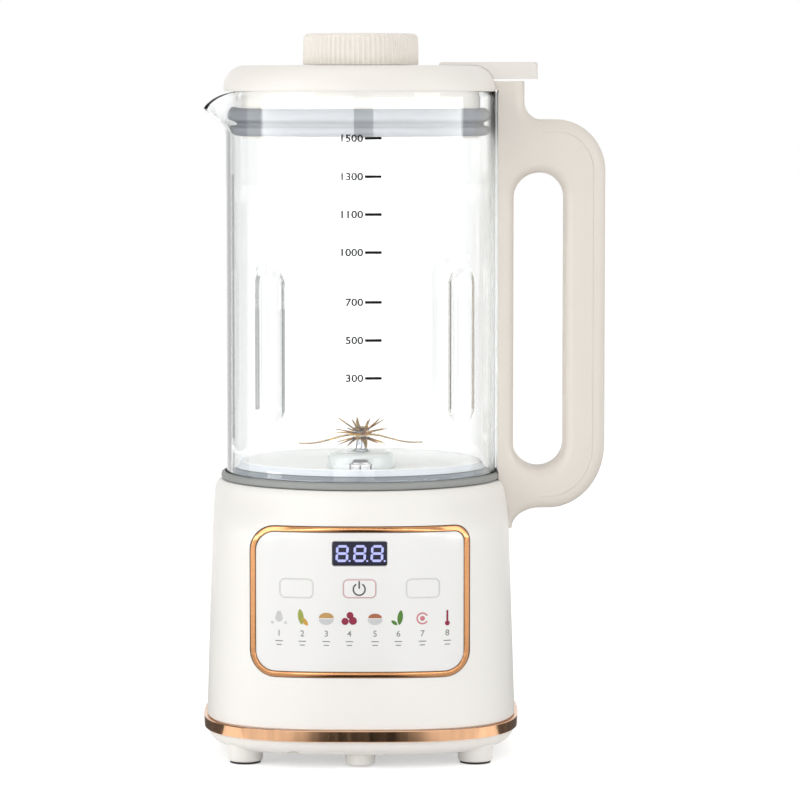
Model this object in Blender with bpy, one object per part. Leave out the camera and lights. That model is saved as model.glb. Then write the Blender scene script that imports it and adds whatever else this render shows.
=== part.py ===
# Soy milk maker: a heated blender jug on a motor base.
# Lengths are metres, +Z is up, the panel looks along -Y and the handle points along +X.
# Heights are measured from the surface that the feet stand on, radii from the jug's axis.

import math

import bmesh
import bpy
from mathutils import Matrix

# Whole object
GLASS_RADIUS = 0.0623
HOUSING_TOP_Z = 0.1263
HANDLE_GLASS_GAP = 0.0009
HANDLE_DEPTH = 0.0493
SPOUT_LENGTH = 0.0107
HANDLE_FACE_X = GLASS_RADIUS + HANDLE_GLASS_GAP
HANDLE_REACH = HANDLE_FACE_X + HANDLE_DEPTH
SPOUT_REACH = GLASS_RADIUS + SPOUT_LENGTH
JUG_X = (SPOUT_REACH - HANDLE_REACH) / 2
SEAT_GAP = 0.0003
RUNNING_GAP = 0.0004
OVERRUN = 0.004
MERGE_DISTANCE = 0.000001
LARGE_STEPS = 32
MEDIUM_STEPS = 24
SMALL_STEPS = 16
TINY_STEPS = 8
HEXAGON = 6
ARC_STEPS = 4
GRIP_STEPS = 8
FINE_ARC_STEPS = 12
SHARP_ANGLE = math.radians(35)
ROUNDED_EDGE_ANGLE = math.radians(60)

# Housing
RIM_BEYOND_GLASS = 0.0024
SHOULDER_ROUND = 0.0033
SHOULDER_HEIGHT = 0.0073
HOUSING_FLARE_WIDTH = 0.0033
HOUSING_FLARE_DEPTH = 0.0005
SQUARE_END_DROP = 0.0223
ROUND_START_DROP = 0.0033
HOUSING_WALL = 0.0032
HOUSING_TOP_PLATE = 0.0040
HOUSING_SQUARE_EXPONENT = 3.0
HOUSING_ROUND_EXPONENT = 2.0
LOFT_STEPS = 40
HOUSING_BLEND_SHARES = (0, 0.33, 0.66)
HOUSING_CORNER_SHARES = (0, 0.6, 0.92, 1)
HOUSING_INSIDE_SHARES = (1, 0.5, 0)
HOUSING_RIM_RADIUS = GLASS_RADIUS + RIM_BEYOND_GLASS
HOUSING_TOP_HALF = HOUSING_RIM_RADIUS + SHOULDER_ROUND
HOUSING_FOOT_HALF_WIDTH = HOUSING_TOP_HALF + HOUSING_FLARE_WIDTH
HOUSING_FOOT_HALF_DEPTH = HOUSING_TOP_HALF + HOUSING_FLARE_DEPTH
HOUSING_SHOULDER_Z = HOUSING_TOP_Z - SHOULDER_HEIGHT
HOUSING_SQUARE_END_Z = HOUSING_TOP_Z - SQUARE_END_DROP
HOUSING_ROUND_START_Z = HOUSING_TOP_Z - ROUND_START_DROP

# Bottom cover
FOOT_HEIGHT = 0.0061
COVER_HEIGHT = 0.0071
COVER_STEP = 0.0001
COVER_EDGE_INSET = 0.0090
COVER_WALL = 0.0024
COVER_NOTCH_X = -0.0300
COVER_NOTCH_RADIUS = 0.0030
VENT_WIDTH = 0.0030
VENT_LENGTH = 0.0300
VENT_PITCH = 0.0068
VENT_COUNT = 5
COVER_HALF_WIDTH = HOUSING_FOOT_HALF_WIDTH - COVER_STEP
COVER_HALF_DEPTH = HOUSING_FOOT_HALF_DEPTH - COVER_STEP
COVER_TOP_Z = FOOT_HEIGHT + COVER_HEIGHT

# Feet
PAD_THICKNESS = 0.0018
PAD_RADIUS = 0.0064
PAD_PROUD = 0.0008
FOOT_WALL = 0.0016
FOOT_SIDE_INSET = 0.0188
FOOT_END_INSET = 0.0248
FOOT_ROOT = 0.0030
CENTRE_FOOT_RADIUS = 0.00675
CENTRE_FOOT_INSET = 0.0157
FOOT_RADIUS = PAD_RADIUS + FOOT_WALL
FOOT_SIDE = COVER_HALF_WIDTH - FOOT_SIDE_INSET
FOOT_FORWARD = COVER_HALF_DEPTH - FOOT_END_INSET
CENTRE_FOOT_FORWARD = COVER_HALF_DEPTH - CENTRE_FOOT_INSET

# Band
BAND_HEIGHT = 0.0055
BAND_PROUD = 0.0015
BAND_WALL = 0.0022
BAND_HALF_WIDTH = HOUSING_FOOT_HALF_WIDTH + BAND_PROUD
BAND_HALF_DEPTH = HOUSING_FOOT_HALF_DEPTH + BAND_PROUD
BAND_LOW_Z = COVER_TOP_Z + SEAT_GAP
BAND_TOP_Z = COVER_TOP_Z + BAND_HEIGHT

# Jug glass and the pieces under it
GLASS_WALL = 0.0021
GLASS_HEIGHT = 0.1768
GLASS_LIP_WIDTH = 0.0103
GLASS_LIP_THICKNESS = 0.0015
FLUTE_AZIMUTH = math.radians(48.5)
FLUTE_COUNT = 4
FLUTE_HALF_WIDTH = 0.0085
FLUTE_DEPTH = 0.0045
FLUTE_RISE = 0.0265
FLUTE_LENGTH = 0.0690
FLUTE_END = 0.0070
FLUTE_WIDTH_SHARES = (-1, -0.5, 0, 0.5, 1)
FLUTE_END_SHARES = (0, 0.35, 1)
SPOUT_RISE_SHARES = (0, 0.5, 1)
SPOUT_AZIMUTH = math.radians(270)
SPOUT_HALF_ANGLE = math.radians(27)
SPOUT_HEIGHT = 0.0185
SPOUT_DROP = 0.0075
COLUMNS_BETWEEN_FLUTES = 7
GASKET_LIP = 0.0033
GASKET_LIP_GAP = 0.0005
GASKET_PLATE = 0.0010
COLLAR_INSET = 0.0068
COLLAR_WALL = 0.0025
COLLAR_FLANGE_OUTWARD = 0.0023
COLLAR_FLANGE_INWARD = 0.0105
COLLAR_FLANGE_THICKNESS = 0.0030
FLOOR_THICKNESS = 0.0012
FLOOR_RING_WIDTH = 0.0030
FLOOR_RING_HEIGHT = 0.0012
HEATER_MARGIN = 0.0030
HEATER_THICKNESS = 0.0028
ELEMENT_THICKNESS = 0.0060
BASE_PLATE_THICKNESS = 0.0020
GLASS_INNER_RADIUS = GLASS_RADIUS - GLASS_WALL
GLASS_LIP_RADIUS = GLASS_RADIUS - GLASS_LIP_WIDTH
COLLAR_RADIUS = GLASS_RADIUS - COLLAR_INSET
COLLAR_FLANGE_RADIUS = COLLAR_RADIUS + COLLAR_FLANGE_OUTWARD
COLLAR_FLANGE_BORE = COLLAR_RADIUS - COLLAR_FLANGE_INWARD
HEATER_RADIUS = GLASS_LIP_RADIUS - HEATER_MARGIN
GASKET_LOW_Z = HOUSING_TOP_Z + SEAT_GAP
GASKET_TOP_Z = GASKET_LOW_Z + GASKET_LIP
COLLAR_TOP_Z = GASKET_LOW_Z + SEAT_GAP
GASKET_PLATE_LOW_Z = COLLAR_TOP_Z + SEAT_GAP
GASKET_PLATE_TOP_Z = GASKET_PLATE_LOW_Z + GASKET_PLATE
GLASS_LOW_Z = GASKET_PLATE_TOP_Z + SEAT_GAP
GLASS_RIM_Z = GLASS_LOW_Z + GLASS_HEIGHT
FLUTE_LOW_Z = GLASS_LOW_Z + FLUTE_RISE
FLUTE_HIGH_Z = FLUTE_LOW_Z + FLUTE_LENGTH
SPOUT_ROOT_Z = GLASS_RIM_Z - SPOUT_HEIGHT
FLOOR_LOW_Z = GLASS_LOW_Z + GLASS_LIP_THICKNESS + SEAT_GAP
FLOOR_TOP_Z = FLOOR_LOW_Z + FLOOR_THICKNESS
HEATER_TOP_Z = FLOOR_LOW_Z - SEAT_GAP
HEATER_LOW_Z = HEATER_TOP_Z - HEATER_THICKNESS

# Well in the base's top
WELL_CLEARANCE = 0.0009
WELL_WALL = 0.0018
WELL_DEPTH = 0.0233
WELL_FLOOR = 0.0020
WELL_FLANGE = 0.0033
WELL_FLANGE_THICKNESS = 0.0020
UPSTAND_WALL = 0.0019
UPSTAND_HEIGHT = 0.0040
UPSTAND_CLEARANCE = 0.0023
BAY_WALL = 0.0020
WELL_RADIUS = COLLAR_RADIUS + WELL_CLEARANCE
WELL_OUTER_RADIUS = WELL_RADIUS + WELL_WALL
HOUSING_HOLE_RADIUS = WELL_OUTER_RADIUS + SEAT_GAP
BAY_REACH = WELL_OUTER_RADIUS + WELL_FLANGE
WELL_FLOOR_Z = HOUSING_TOP_Z - WELL_DEPTH
WELL_UNDER_Z = WELL_FLOOR_Z - WELL_FLOOR
WELL_TOP_Z = HOUSING_TOP_Z - HOUSING_TOP_PLATE - SEAT_GAP
COLLAR_LOW_Z = WELL_FLOOR_Z + SEAT_GAP

# Panel on the front
PANEL_DROP = 0.0497
PANEL_SIDE_MARGIN = 0.0210
PANEL_HALF_HEIGHT = 0.0316
PANEL_CORNER_RADIUS = 0.0090
PANEL_TIGHT_CORNER_RADIUS = 0.0045
PANEL_THICKNESS = 0.0022
PANEL_CUT_DEPTH = 0.0265
FRAME_WIDTH = 0.0024
FRAME_PROUD = 0.0006
FRAME_DEPTH = 0.0036
DISPLAY_HALF_WIDTH = 0.0120
DISPLAY_HALF_HEIGHT = 0.0052
DISPLAY_RISE = 0.0220
DISPLAY_RECESS = 0.0004
DISPLAY_WELL_GAP = 0.0011
DISPLAY_CORNER_RADIUS = 0.0009
KEY_HALF_WIDTH = 0.0075
KEY_HALF_HEIGHT = 0.0043
KEY_CORNER_RADIUS = 0.0018
KEY_RISE = 0.0062
KEY_SIDE_MARGIN = 0.0186
KEY_TRAVEL = 0.0006
KEY_DEPTH = 0.0030
SWITCH_RADIUS = 0.0021
BOARD_THICKNESS = 0.0016
BOARD_SIDE_MARGIN = 0.0070
BOARD_HEIGHT = 0.0450
BOARD_CLEARANCE = 0.0019
BOARD_GAP = 0.0023
PANEL_CENTRE_Z = HOUSING_TOP_Z - PANEL_DROP
PANEL_HALF_WIDTH = HOUSING_TOP_HALF - PANEL_SIDE_MARGIN
PANEL_CUT_Y = HOUSING_FOOT_HALF_DEPTH - PANEL_CUT_DEPTH
DISPLAY_CENTRE_Z = PANEL_CENTRE_Z + DISPLAY_RISE
KEY_CENTRE_Z = PANEL_CENTRE_Z + KEY_RISE
KEY_SPACING = PANEL_HALF_WIDTH - KEY_SIDE_MARGIN
BOARD_HALF_WIDTH = PANEL_HALF_WIDTH - BOARD_SIDE_MARGIN
BOARD_HIGH_Z = WELL_UNDER_Z - BOARD_CLEARANCE
BOARD_LOW_Z = BOARD_HIGH_Z - BOARD_HEIGHT

# Motor
SHAFT_RADIUS = 0.0040
SHAFT_CLEARANCE = 0.0018
MOTOR_CLEARANCE = 0.0201
DAMPER_WIDTH = 0.0060
DAMPER_INSET = 0.0020
DAMPER_HEIGHT = 0.0060
BRACKET_RIM = 0.0060
BRACKET_PLATE = 0.0030
BRACKET_HUB_WALL = 0.0025
BRACKET_SHAFT_GAP = 0.0008
BRACKET_LEG = 0.0100
BRACKET_LEG_WIDTH = 0.0090
BRACKET_LEG_THICKNESS = 0.0040
BEARING_RADIUS = 0.0105
BEARING_HEIGHT = 0.0060
STATOR_RADIUS = 0.0380
STATOR_THICKNESS = 0.0135
ARMATURE_GAP = 0.0007
ARMATURE_END_STEP = 0.0010
WINDING_STEP = 0.0048
WINDING_HEIGHT = 0.0050
COMMUTATOR_STEP = 0.0080
BRUSH_WIDTH = 0.0060
BRUSH_LENGTH = 0.0120
BRUSH_HEIGHT = 0.0050
FAN_RADIUS = 0.0300
FAN_HUB_WALL = 0.0040
FAN_HEIGHT = 0.0080
FAN_PLATE = 0.0014
FAN_BLADES = 8
FAN_BLADE_THICKNESS = 0.0014
SPLINE_WALL = 0.0016
SPLINE_TOOTH = 0.0014
SPLINE_TEETH = 6
POINTS_PER_TOOTH = 4
SPLINE_HEIGHT = 0.0066
SOCKET_WALL = 0.0040
SOCKET_WEB = 0.0025
BRACKET_RADIUS = STATOR_RADIUS + BRACKET_RIM
DAMPER_CIRCLE = BRACKET_RADIUS - DAMPER_INSET
BRACKET_HUB_RADIUS = BEARING_RADIUS + BRACKET_HUB_WALL
STATOR_BORE = STATOR_RADIUS - STATOR_THICKNESS
ARMATURE_RADIUS = STATOR_BORE - ARMATURE_GAP
WINDING_RADIUS = ARMATURE_RADIUS - WINDING_STEP
COMMUTATOR_RADIUS = WINDING_RADIUS - COMMUTATOR_STEP
FAN_HUB_RADIUS = SHAFT_RADIUS + FAN_HUB_WALL
SPLINE_ROOT_RADIUS = SHAFT_RADIUS + SPLINE_WALL
SPLINE_RADIUS = SPLINE_ROOT_RADIUS + SPLINE_TOOTH
SOCKET_RADIUS = SPLINE_RADIUS + SOCKET_WALL
UPSTAND_RADIUS = SOCKET_RADIUS + UPSTAND_CLEARANCE
SHAFT_LOW_Z = BAND_TOP_Z + SHAFT_CLEARANCE
LOWER_BRACKET_LOW_Z = BAND_TOP_Z + MOTOR_CLEARANCE
LOWER_BRACKET_TOP_Z = LOWER_BRACKET_LOW_Z + BRACKET_PLATE
STATOR_LOW_Z = LOWER_BRACKET_TOP_Z + BRACKET_LEG + SEAT_GAP
UPPER_BRACKET_TOP_Z = WELL_UNDER_Z - SEAT_GAP - DAMPER_HEIGHT - SEAT_GAP
UPPER_BRACKET_LOW_Z = UPPER_BRACKET_TOP_Z - BRACKET_PLATE
STATOR_TOP_Z = UPPER_BRACKET_LOW_Z - BRACKET_LEG - SEAT_GAP
ARMATURE_TOP_Z = STATOR_TOP_Z - ARMATURE_END_STEP
ARMATURE_LOW_Z = STATOR_LOW_Z + ARMATURE_END_STEP
SPLINE_LOW_Z = WELL_FLOOR_Z + RUNNING_GAP
SPLINE_TOP_Z = SPLINE_LOW_Z + SPLINE_HEIGHT

# Electric coupler between base and jug
COUPLER_DAMPER_GAP = 0.0070
COUPLER_HALF_WIDTH = 0.0120
COUPLER_HALF_DEPTH = 0.0060
COUPLER_DEPTH = 0.0082
COUPLER_PIN_RADIUS = 0.0012
COUPLER_PIN_SPACING = 0.0070
COUPLER_PIN_LENGTH = 0.0060
COUPLER_Y = DAMPER_CIRCLE - DAMPER_WIDTH - COUPLER_DAMPER_GAP

# Mains inlet and boards
INLET_RISE = 0.0173
INLET_HALF_WIDTH = 0.0140
INLET_HALF_HEIGHT = 0.0100
INLET_FLANGE = 0.0030
INLET_PROUD = 0.0012
INLET_MOTOR_GAP = 0.0039
INLET_CUT_DEPTH = 0.0265
INLET_WALL = 0.0018
INLET_PIN_RADIUS = 0.0013
INLET_PIN_SPACING = 0.0070
POWER_BOARD_HALF_WIDTH = 0.0300
POWER_BOARD_HALF_DEPTH = 0.0090
POWER_BOARD_INSET = 0.0194
POWER_BOARD_POST = 0.0040
POST_RADIUS = 0.0022
INLET_Z = BAND_TOP_Z + INLET_RISE
INLET_CUT_Y = HOUSING_FOOT_HALF_DEPTH - INLET_CUT_DEPTH
POWER_BOARD_Y = POWER_BOARD_INSET - COVER_HALF_DEPTH

# Blade seat and probe in the jug's floor
SEAT_RADIUS = 0.0155
SEAT_HEIGHT = 0.0076
SEAT_EDGE = 0.0012
SEAT_ROOF = 0.0036
STEM_RADIUS = 0.0090
STEM_WALL = 0.0030
STEM_CLEARANCE = 0.0110
CLAMP_NUT_WALL = 0.0050
CLAMP_NUT_HEIGHT = 0.0045
PROBE_SEAT_GAP = 0.0011
PROBE_RADIUS = 0.0059
PROBE_HEIGHT = 0.0034
PROBE_STEM_RADIUS = 0.0025
PROBE_STEM_LENGTH = 0.0090
SEAT_LOW_Z = FLOOR_TOP_Z + SEAT_GAP
SEAT_TOP_Z = SEAT_LOW_Z + SEAT_HEIGHT
STEM_LOW_Z = WELL_FLOOR_Z + STEM_CLEARANCE
CLAMP_NUT_RADIUS = STEM_RADIUS + CLAMP_NUT_WALL
PROBE_FORWARD = SEAT_RADIUS + PROBE_SEAT_GAP + PROBE_RADIUS
ELEMENT_RADIUS = (PROBE_FORWARD + PROBE_STEM_RADIUS + HEATER_RADIUS) / 2
SOCKET_TOP_Z = STEM_LOW_Z - SEAT_GAP
SOCKET_LOW_Z = SPLINE_LOW_Z + RUNNING_GAP

# Blades
BLADE_SHAFT_RADIUS = 0.0022
BLADE_HUB_WALL = 0.0028
BLADE_RISE = 0.0038
BLADE_THICKNESS = 0.0012
STAR_POINTS = 8
STAR_TIP_SHARE = 0.3
BLADES_ON_SHAFT = 4
RIM_TOLERANCE = 0.00001
STAR_REACH = 0.0066
UP_TIP_RISE = 0.0094
FLAT_TIP_RISE = 0.0050
DOWN_TIP_DROP = 0.0026
LONG_REACH = 0.0240
LONG_TIP_DROP = 0.0020
LONG_FLAT_LENGTH = 0.0060
LONG_ROOT_WIDTH = 0.0070
LONG_TIP_WIDTH = 0.0026
BLADE_NUT_WALL = 0.0016
BLADE_NUT_HEIGHT = 0.0030
BLADE_NUT_CROWN = 0.0010
BLADE_NUT_TOP_RADIUS = 0.0019
BLADE_HUB_RADIUS = BLADE_SHAFT_RADIUS + BLADE_HUB_WALL
BLADE_NUT_RADIUS = BLADE_SHAFT_RADIUS + BLADE_NUT_WALL
STAR_TIP_RADIUS = BLADE_HUB_RADIUS + STAR_REACH
LONG_TIP_RADIUS = BLADE_HUB_RADIUS + LONG_REACH
BLADE_HUB_Z = SEAT_TOP_Z + BLADE_RISE
UP_TIP_Z = BLADE_HUB_Z + UP_TIP_RISE
FLAT_TIP_Z = BLADE_HUB_Z + FLAT_TIP_RISE
DOWN_TIP_Z = BLADE_HUB_Z - DOWN_TIP_DROP
LONG_TIP_Z = BLADE_HUB_Z - LONG_TIP_DROP

# Lid
LID_OVERHANG = 0.0010
LID_HEIGHT = 0.0113
LID_EDGE_RADIUS = 0.0105
LID_WALL = 0.0022
FEED_RADIUS = 0.0213
FEED_WALL = 0.0020
PLUG_INSET = 0.0052
PLUG_WALL = 0.0020
PLUG_REACH = 0.0216
PLUG_FLANGE_GAP = 0.0007
PLUG_FLANGE_THICKNESS = 0.0020
SEAL_GROOVE_DEPTH = 0.0031
SEAL_HEIGHT = 0.0145
SEAL_LIP_DROP = 0.0030
SEAL_LIP_EDGE = 0.0010
SEAL_LIP_HEIGHT = 0.0055
SEAL_GROOVE_HEIGHT = 0.0024
LID_RADIUS = GLASS_RADIUS + LID_OVERHANG
LID_LOW_Z = GLASS_RIM_Z + SEAT_GAP
LID_HIGH_Z = LID_LOW_Z + LID_HEIGHT
PLUG_RADIUS = GLASS_INNER_RADIUS - PLUG_INSET
PLUG_LOW_Z = GLASS_RIM_Z - PLUG_REACH
PLUG_FLANGE_RADIUS = LID_RADIUS - LID_WALL - PLUG_FLANGE_GAP
SEAL_LIP_RADIUS = GLASS_INNER_RADIUS - SEAT_GAP
SEAL_GROOVE_RADIUS = SEAL_LIP_RADIUS - SEAL_GROOVE_DEPTH

# Handle
HANDLE_WIDTH = 0.0280
HANDLE_EDGE = 0.0030
HANDLE_HOOK = 0.0022
HANDLE_NECK_DEPTH = 0.0120
HANDLE_HEAD_HEIGHT = 0.0045
HANDLE_NECK_DROP = 0.0048
HANDLE_SHOULDER_DEPTH = 0.0200
HANDLE_SHOULDER_DROP = 0.0131
HANDLE_UPPER_INSET = 0.0225
HANDLE_UPPER_DROP = 0.0237
HANDLE_LOWER_INSET = 0.0260
HANDLE_LOWER_LIFT = 0.0167
HANDLE_LOWER_RISE = 0.0298
TAIL_ROOT_INSET = 0.0305
TAIL_DEPTH = 0.0066
TAIL_DROP = 0.0224
TAIL_INNER_STEP = 0.0007
LUG_LOW_DROP = 0.0183
LUG_HIGH_DROP = 0.0046
GRIP_COVER_THICKNESS = 0.0055
SLOT_INNER_DEPTH = 0.0072
SLOT_GRIP_DEPTH = 0.0188
SLOT_LOW_LIFT = 0.0052
SLOT_TOP_DROP = 0.0374
NOTCH_SIDE_GAP = 0.0005
REED_RADIUS = 0.0013
REED_LENGTH = 0.0050
HANDLE_HALF = HANDLE_WIDTH / 2
HANDLE_HEAD_X = HANDLE_FACE_X - HANDLE_HOOK
HANDLE_NECK_X = HANDLE_FACE_X + HANDLE_NECK_DEPTH
HANDLE_SHOULDER_X = HANDLE_FACE_X + HANDLE_SHOULDER_DEPTH
HANDLE_UPPER_X = HANDLE_REACH - HANDLE_UPPER_INSET
HANDLE_LOWER_X = HANDLE_REACH - HANDLE_LOWER_INSET
HANDLE_TOP_Z = GLASS_RIM_Z + HANDLE_HEAD_HEIGHT
HANDLE_NECK_Z = GLASS_RIM_Z - HANDLE_NECK_DROP
HANDLE_SHOULDER_Z = GLASS_RIM_Z - HANDLE_SHOULDER_DROP
HANDLE_UPPER_Z = HANDLE_SHOULDER_Z - HANDLE_UPPER_DROP
HANDLE_LOWER_Z = HOUSING_TOP_Z + HANDLE_LOWER_LIFT
TAIL_ROOT_X = HANDLE_REACH - TAIL_ROOT_INSET
TAIL_TIP_X = HANDLE_FACE_X + TAIL_DEPTH
TAIL_INNER_X = HANDLE_FACE_X - TAIL_INNER_STEP
TAIL_TIP_Z = HOUSING_TOP_Z - TAIL_DROP
LUG_LOW_Z = HOUSING_TOP_Z - LUG_LOW_DROP
LUG_HIGH_Z = HOUSING_TOP_Z - LUG_HIGH_DROP
SLOT_INNER_X = HANDLE_FACE_X + SLOT_INNER_DEPTH
SLOT_OUTER_X = HANDLE_REACH - SLOT_GRIP_DEPTH
SLOT_LOW_Z = HOUSING_TOP_Z + SLOT_LOW_LIFT
SLOT_HIGH_Z = GLASS_RIM_Z - SLOT_TOP_DROP

# Tongue of the lid over the handle's head
TONGUE_START_INSET = 0.0270
TONGUE_OVERHANG = 0.0060
TONGUE_GAP = 0.0009
TONGUE_PROUD = 0.0016
MAGNET_DEPTH = 0.0050
MAGNET_RADIUS = 0.0030
MAGNET_THICKNESS = 0.0025
TONGUE_START_X = LID_RADIUS - TONGUE_START_INSET
TONGUE_END_X = HANDLE_NECK_X + TONGUE_OVERHANG
TONGUE_LOW_Z = HANDLE_TOP_Z + TONGUE_GAP
TONGUE_TOP_Z = LID_HIGH_Z + TONGUE_PROUD
LID_FLAT_X = HANDLE_HEAD_X - RUNNING_GAP
MAGNET_X = HANDLE_FACE_X + MAGNET_DEPTH

# Feed cap
CAP_OVERHANG = 0.0053
CAP_HEIGHT = 0.0144
CAP_EDGE = 0.0023
CAP_RIBS = 60
CAP_RIB_DEPTH = 0.0007
CAP_WALL = 0.0024
CAP_PLUG_GAP = 0.0006
CAP_PLUG_REACH = 0.0172
CAP_PLUG_WALL = 0.0020
CAP_SEAL_DROP = 0.0102
CAP_SEAL_HEIGHT = 0.0026
CAP_SEAL_DEPTH = 0.0014
CAP_RADIUS = FEED_RADIUS + CAP_OVERHANG
CAP_PLUG_RADIUS = FEED_RADIUS - CAP_PLUG_GAP
CAP_LOW_Z = LID_HIGH_Z + SEAT_GAP
CAP_TOP_Z = CAP_LOW_Z + CAP_HEIGHT
CAP_PLUG_LOW_Z = CAP_LOW_Z - CAP_PLUG_REACH
CAP_SEAL_Z = CAP_LOW_Z - CAP_SEAL_DROP


# Scene helpers

def clear_scene():
    for item in list(bpy.data.objects):
        bpy.data.objects.remove(item, do_unlink=True)


def material(name, colour, roughness, metallic=0.0):
    made = bpy.data.materials.new(name)
    made.use_nodes = True
    shader = made.node_tree.nodes["Principled BSDF"]
    shader.inputs["Base Color"].default_value = (*colour, 1.0)
    shader.inputs["Roughness"].default_value = roughness
    shader.inputs["Metallic"].default_value = metallic
    return made


def body(name, x, y, z):
    """An empty on the axis of the joint that carries a moving group of pieces."""
    empty = bpy.data.objects.new(name, None)
    empty.location = (JUG_X + x, y, z)
    bpy.context.scene.collection.objects.link(empty)
    return empty


def place(name, mesh_builder, carrier, colour_material):
    """Makes a named object from a bmesh and hangs it on its carrier without moving it."""
    mesh = mesh_from(name, mesh_builder)
    mesh.materials.append(colour_material)
    item = bpy.data.objects.new(name, mesh)
    bpy.context.scene.collection.objects.link(item)
    item.parent = carrier
    item.matrix_parent_inverse = carrier.matrix_basis.inverted()
    item.location = (JUG_X, 0, 0)
    return item


def mesh_from(name, bm):
    bmesh.ops.remove_doubles(bm, verts=bm.verts, dist=MERGE_DISTANCE)
    bmesh.ops.recalc_face_normals(bm, faces=bm.faces)
    mesh = bpy.data.meshes.new(name)
    bm.to_mesh(mesh)
    bm.free()
    mesh.shade_smooth()
    mesh.set_sharp_from_angle(angle=SHARP_ANGLE)
    return mesh


def boolean(item, bm, operation):
    """Cuts a guide shape out of an object, or joins the shape to it."""
    name = "guide_" + item.name + "_" + str(len(item.modifiers))
    guide = bpy.data.objects.new(name, mesh_from(name, bm))
    bpy.context.scene.collection.objects.link(guide)
    guide.location = (JUG_X, 0, 0)
    guide.hide_render = True
    guide.display_type = "WIRE"
    step = item.modifiers.new(name, "BOOLEAN")
    step.operation = operation
    step.solver = "EXACT"
    step.object = guide


def cut(item, bm):
    boolean(item, bm, "DIFFERENCE")


def join(item, bm):
    boolean(item, bm, "UNION")


# Shape helpers

def turned(profile, steps=LARGE_STEPS, x=0.0, y=0.0):
    """Spins a profile of radius and height pairs about an upright axis."""
    bm = bmesh.new()
    verts = [bm.verts.new((x + radius, y, z)) for radius, z in profile]
    edges = [bm.edges.new(pair) for pair in zip(verts, verts[1:])]
    on_axis = profile[0][0] == 0 and profile[-1][0] == 0
    if not on_axis:
        edges.append(bm.edges.new((verts[-1], verts[0])))
    bmesh.ops.spin(bm, geom=verts + edges, cent=(x, y, 0), axis=(0, 0, 1), angle=math.tau,
                   steps=steps, use_merge=True, use_duplicate=False)
    return bm


def skinned(rings, closed):
    """Joins rings of equal count by faces, either in a loop or with both ends filled."""
    bm = bmesh.new()
    rows = [[bm.verts.new(point) for point in ring] for ring in rings]
    pairs = list(zip(rows, rows[1:]))
    if closed:
        pairs.append((rows[-1], rows[0]))
    else:
        bm.faces.new(rows[0])
        bm.faces.new(rows[-1])
    count = len(rows[0])
    for lower, upper in pairs:
        for i in range(count):
            j = (i + 1) % count
            bm.faces.new((lower[i], lower[j], upper[j], upper[i]))
    return bm


def prism(outline, low, high, along):
    """Extrudes a flat outline: along Z its points are (x, y), along Y they are (x, z), along X (y, z)."""
    turn = {"Z": lambda u, v, w: (u, v, w), "Y": lambda u, v, w: (u, w, v), "X": lambda u, v, w: (w, u, v)}
    rings = [[turn[along](u, v, level) for u, v in outline] for level in (low, high)]
    return skinned(rings, False)


def box(x_low, x_high, y_low, y_high, z_low, z_high):
    outline = [(x_low, y_low), (x_high, y_low), (x_high, y_high), (x_low, y_high)]
    return prism(outline, z_low, z_high, "Z")


def arc(centre, radii, start, end, steps=ARC_STEPS):
    """Points on a circular or elliptic arc, angles in degrees."""
    points = []
    for i in range(steps + 1):
        angle = math.radians(start + (end - start) * i / steps)
        points.append((centre[0] + radii[0] * math.cos(angle), centre[1] + radii[1] * math.sin(angle)))
    return points


def rounded_rectangle(centre, half_width, half_height, radii):
    """Outline with a radius for each corner: top right, top left, bottom left, bottom right."""
    points = []
    signs = ((1, 1), (-1, 1), (-1, -1), (1, -1))
    for (side, level), radius, start in zip(signs, radii, (0, 90, 180, 270)):
        middle = (centre[0] + side * (half_width - radius), centre[1] + level * (half_height - radius))
        points += arc(middle, (radius, radius), start, start + 90, ARC_STEPS - 1)
    return points


def circle(centre, radius, steps):
    return arc(centre, (radius, radius), 0, 360, steps)[:-1]


# Plan shape of the base

def plan_ring(half_width, half_depth, exponent, z):
    """A ring between a circle and a rounded square."""
    ring = []
    for i in range(LOFT_STEPS):
        angle = math.tau * i / LOFT_STEPS
        across = abs(math.cos(angle) / half_width) ** exponent
        along = abs(math.sin(angle) / half_depth) ** exponent
        radius = (across + along) ** (-1 / exponent)
        ring.append((radius * math.cos(angle), radius * math.sin(angle), z))
    return ring


def housing_section(z):
    """Half width, half depth and plan exponent of the housing's outside at a height."""
    rise = min(max((z - BAND_TOP_Z) / (HOUSING_SHOULDER_Z - BAND_TOP_Z), 0), 1)
    half_width = HOUSING_FOOT_HALF_WIDTH + (HOUSING_TOP_HALF - HOUSING_FOOT_HALF_WIDTH) * rise
    half_depth = HOUSING_FOOT_HALF_DEPTH + (HOUSING_TOP_HALF - HOUSING_FOOT_HALF_DEPTH) * rise
    if z > HOUSING_SHOULDER_Z:
        lean = min((z - HOUSING_SHOULDER_Z) / (HOUSING_TOP_Z - HOUSING_SHOULDER_Z), 1)
        shrink = (HOUSING_TOP_HALF - HOUSING_RIM_RADIUS) * (1 - math.sqrt(1 - lean * lean))
        half_width -= shrink
        half_depth -= shrink
    blend = min(max((z - HOUSING_SQUARE_END_Z) / (HOUSING_ROUND_START_Z - HOUSING_SQUARE_END_Z), 0), 1)
    smooth = blend * blend * (3 - 2 * blend)
    exponent = HOUSING_SQUARE_EXPONENT + (HOUSING_ROUND_EXPONENT - HOUSING_SQUARE_EXPONENT) * smooth
    return half_width, half_depth, exponent


def housing_ring(z, inset):
    half_width, half_depth, exponent = housing_section(z)
    return plan_ring(half_width - inset, half_depth - inset, exponent, z)


def front_depth(x, z):
    """Distance from the axis plane to the housing's outside, straight ahead of a point of the panel."""
    half_width, half_depth, exponent = housing_section(z)
    return half_depth * (1 - abs(x / half_width) ** exponent) ** (1 / exponent)


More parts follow.
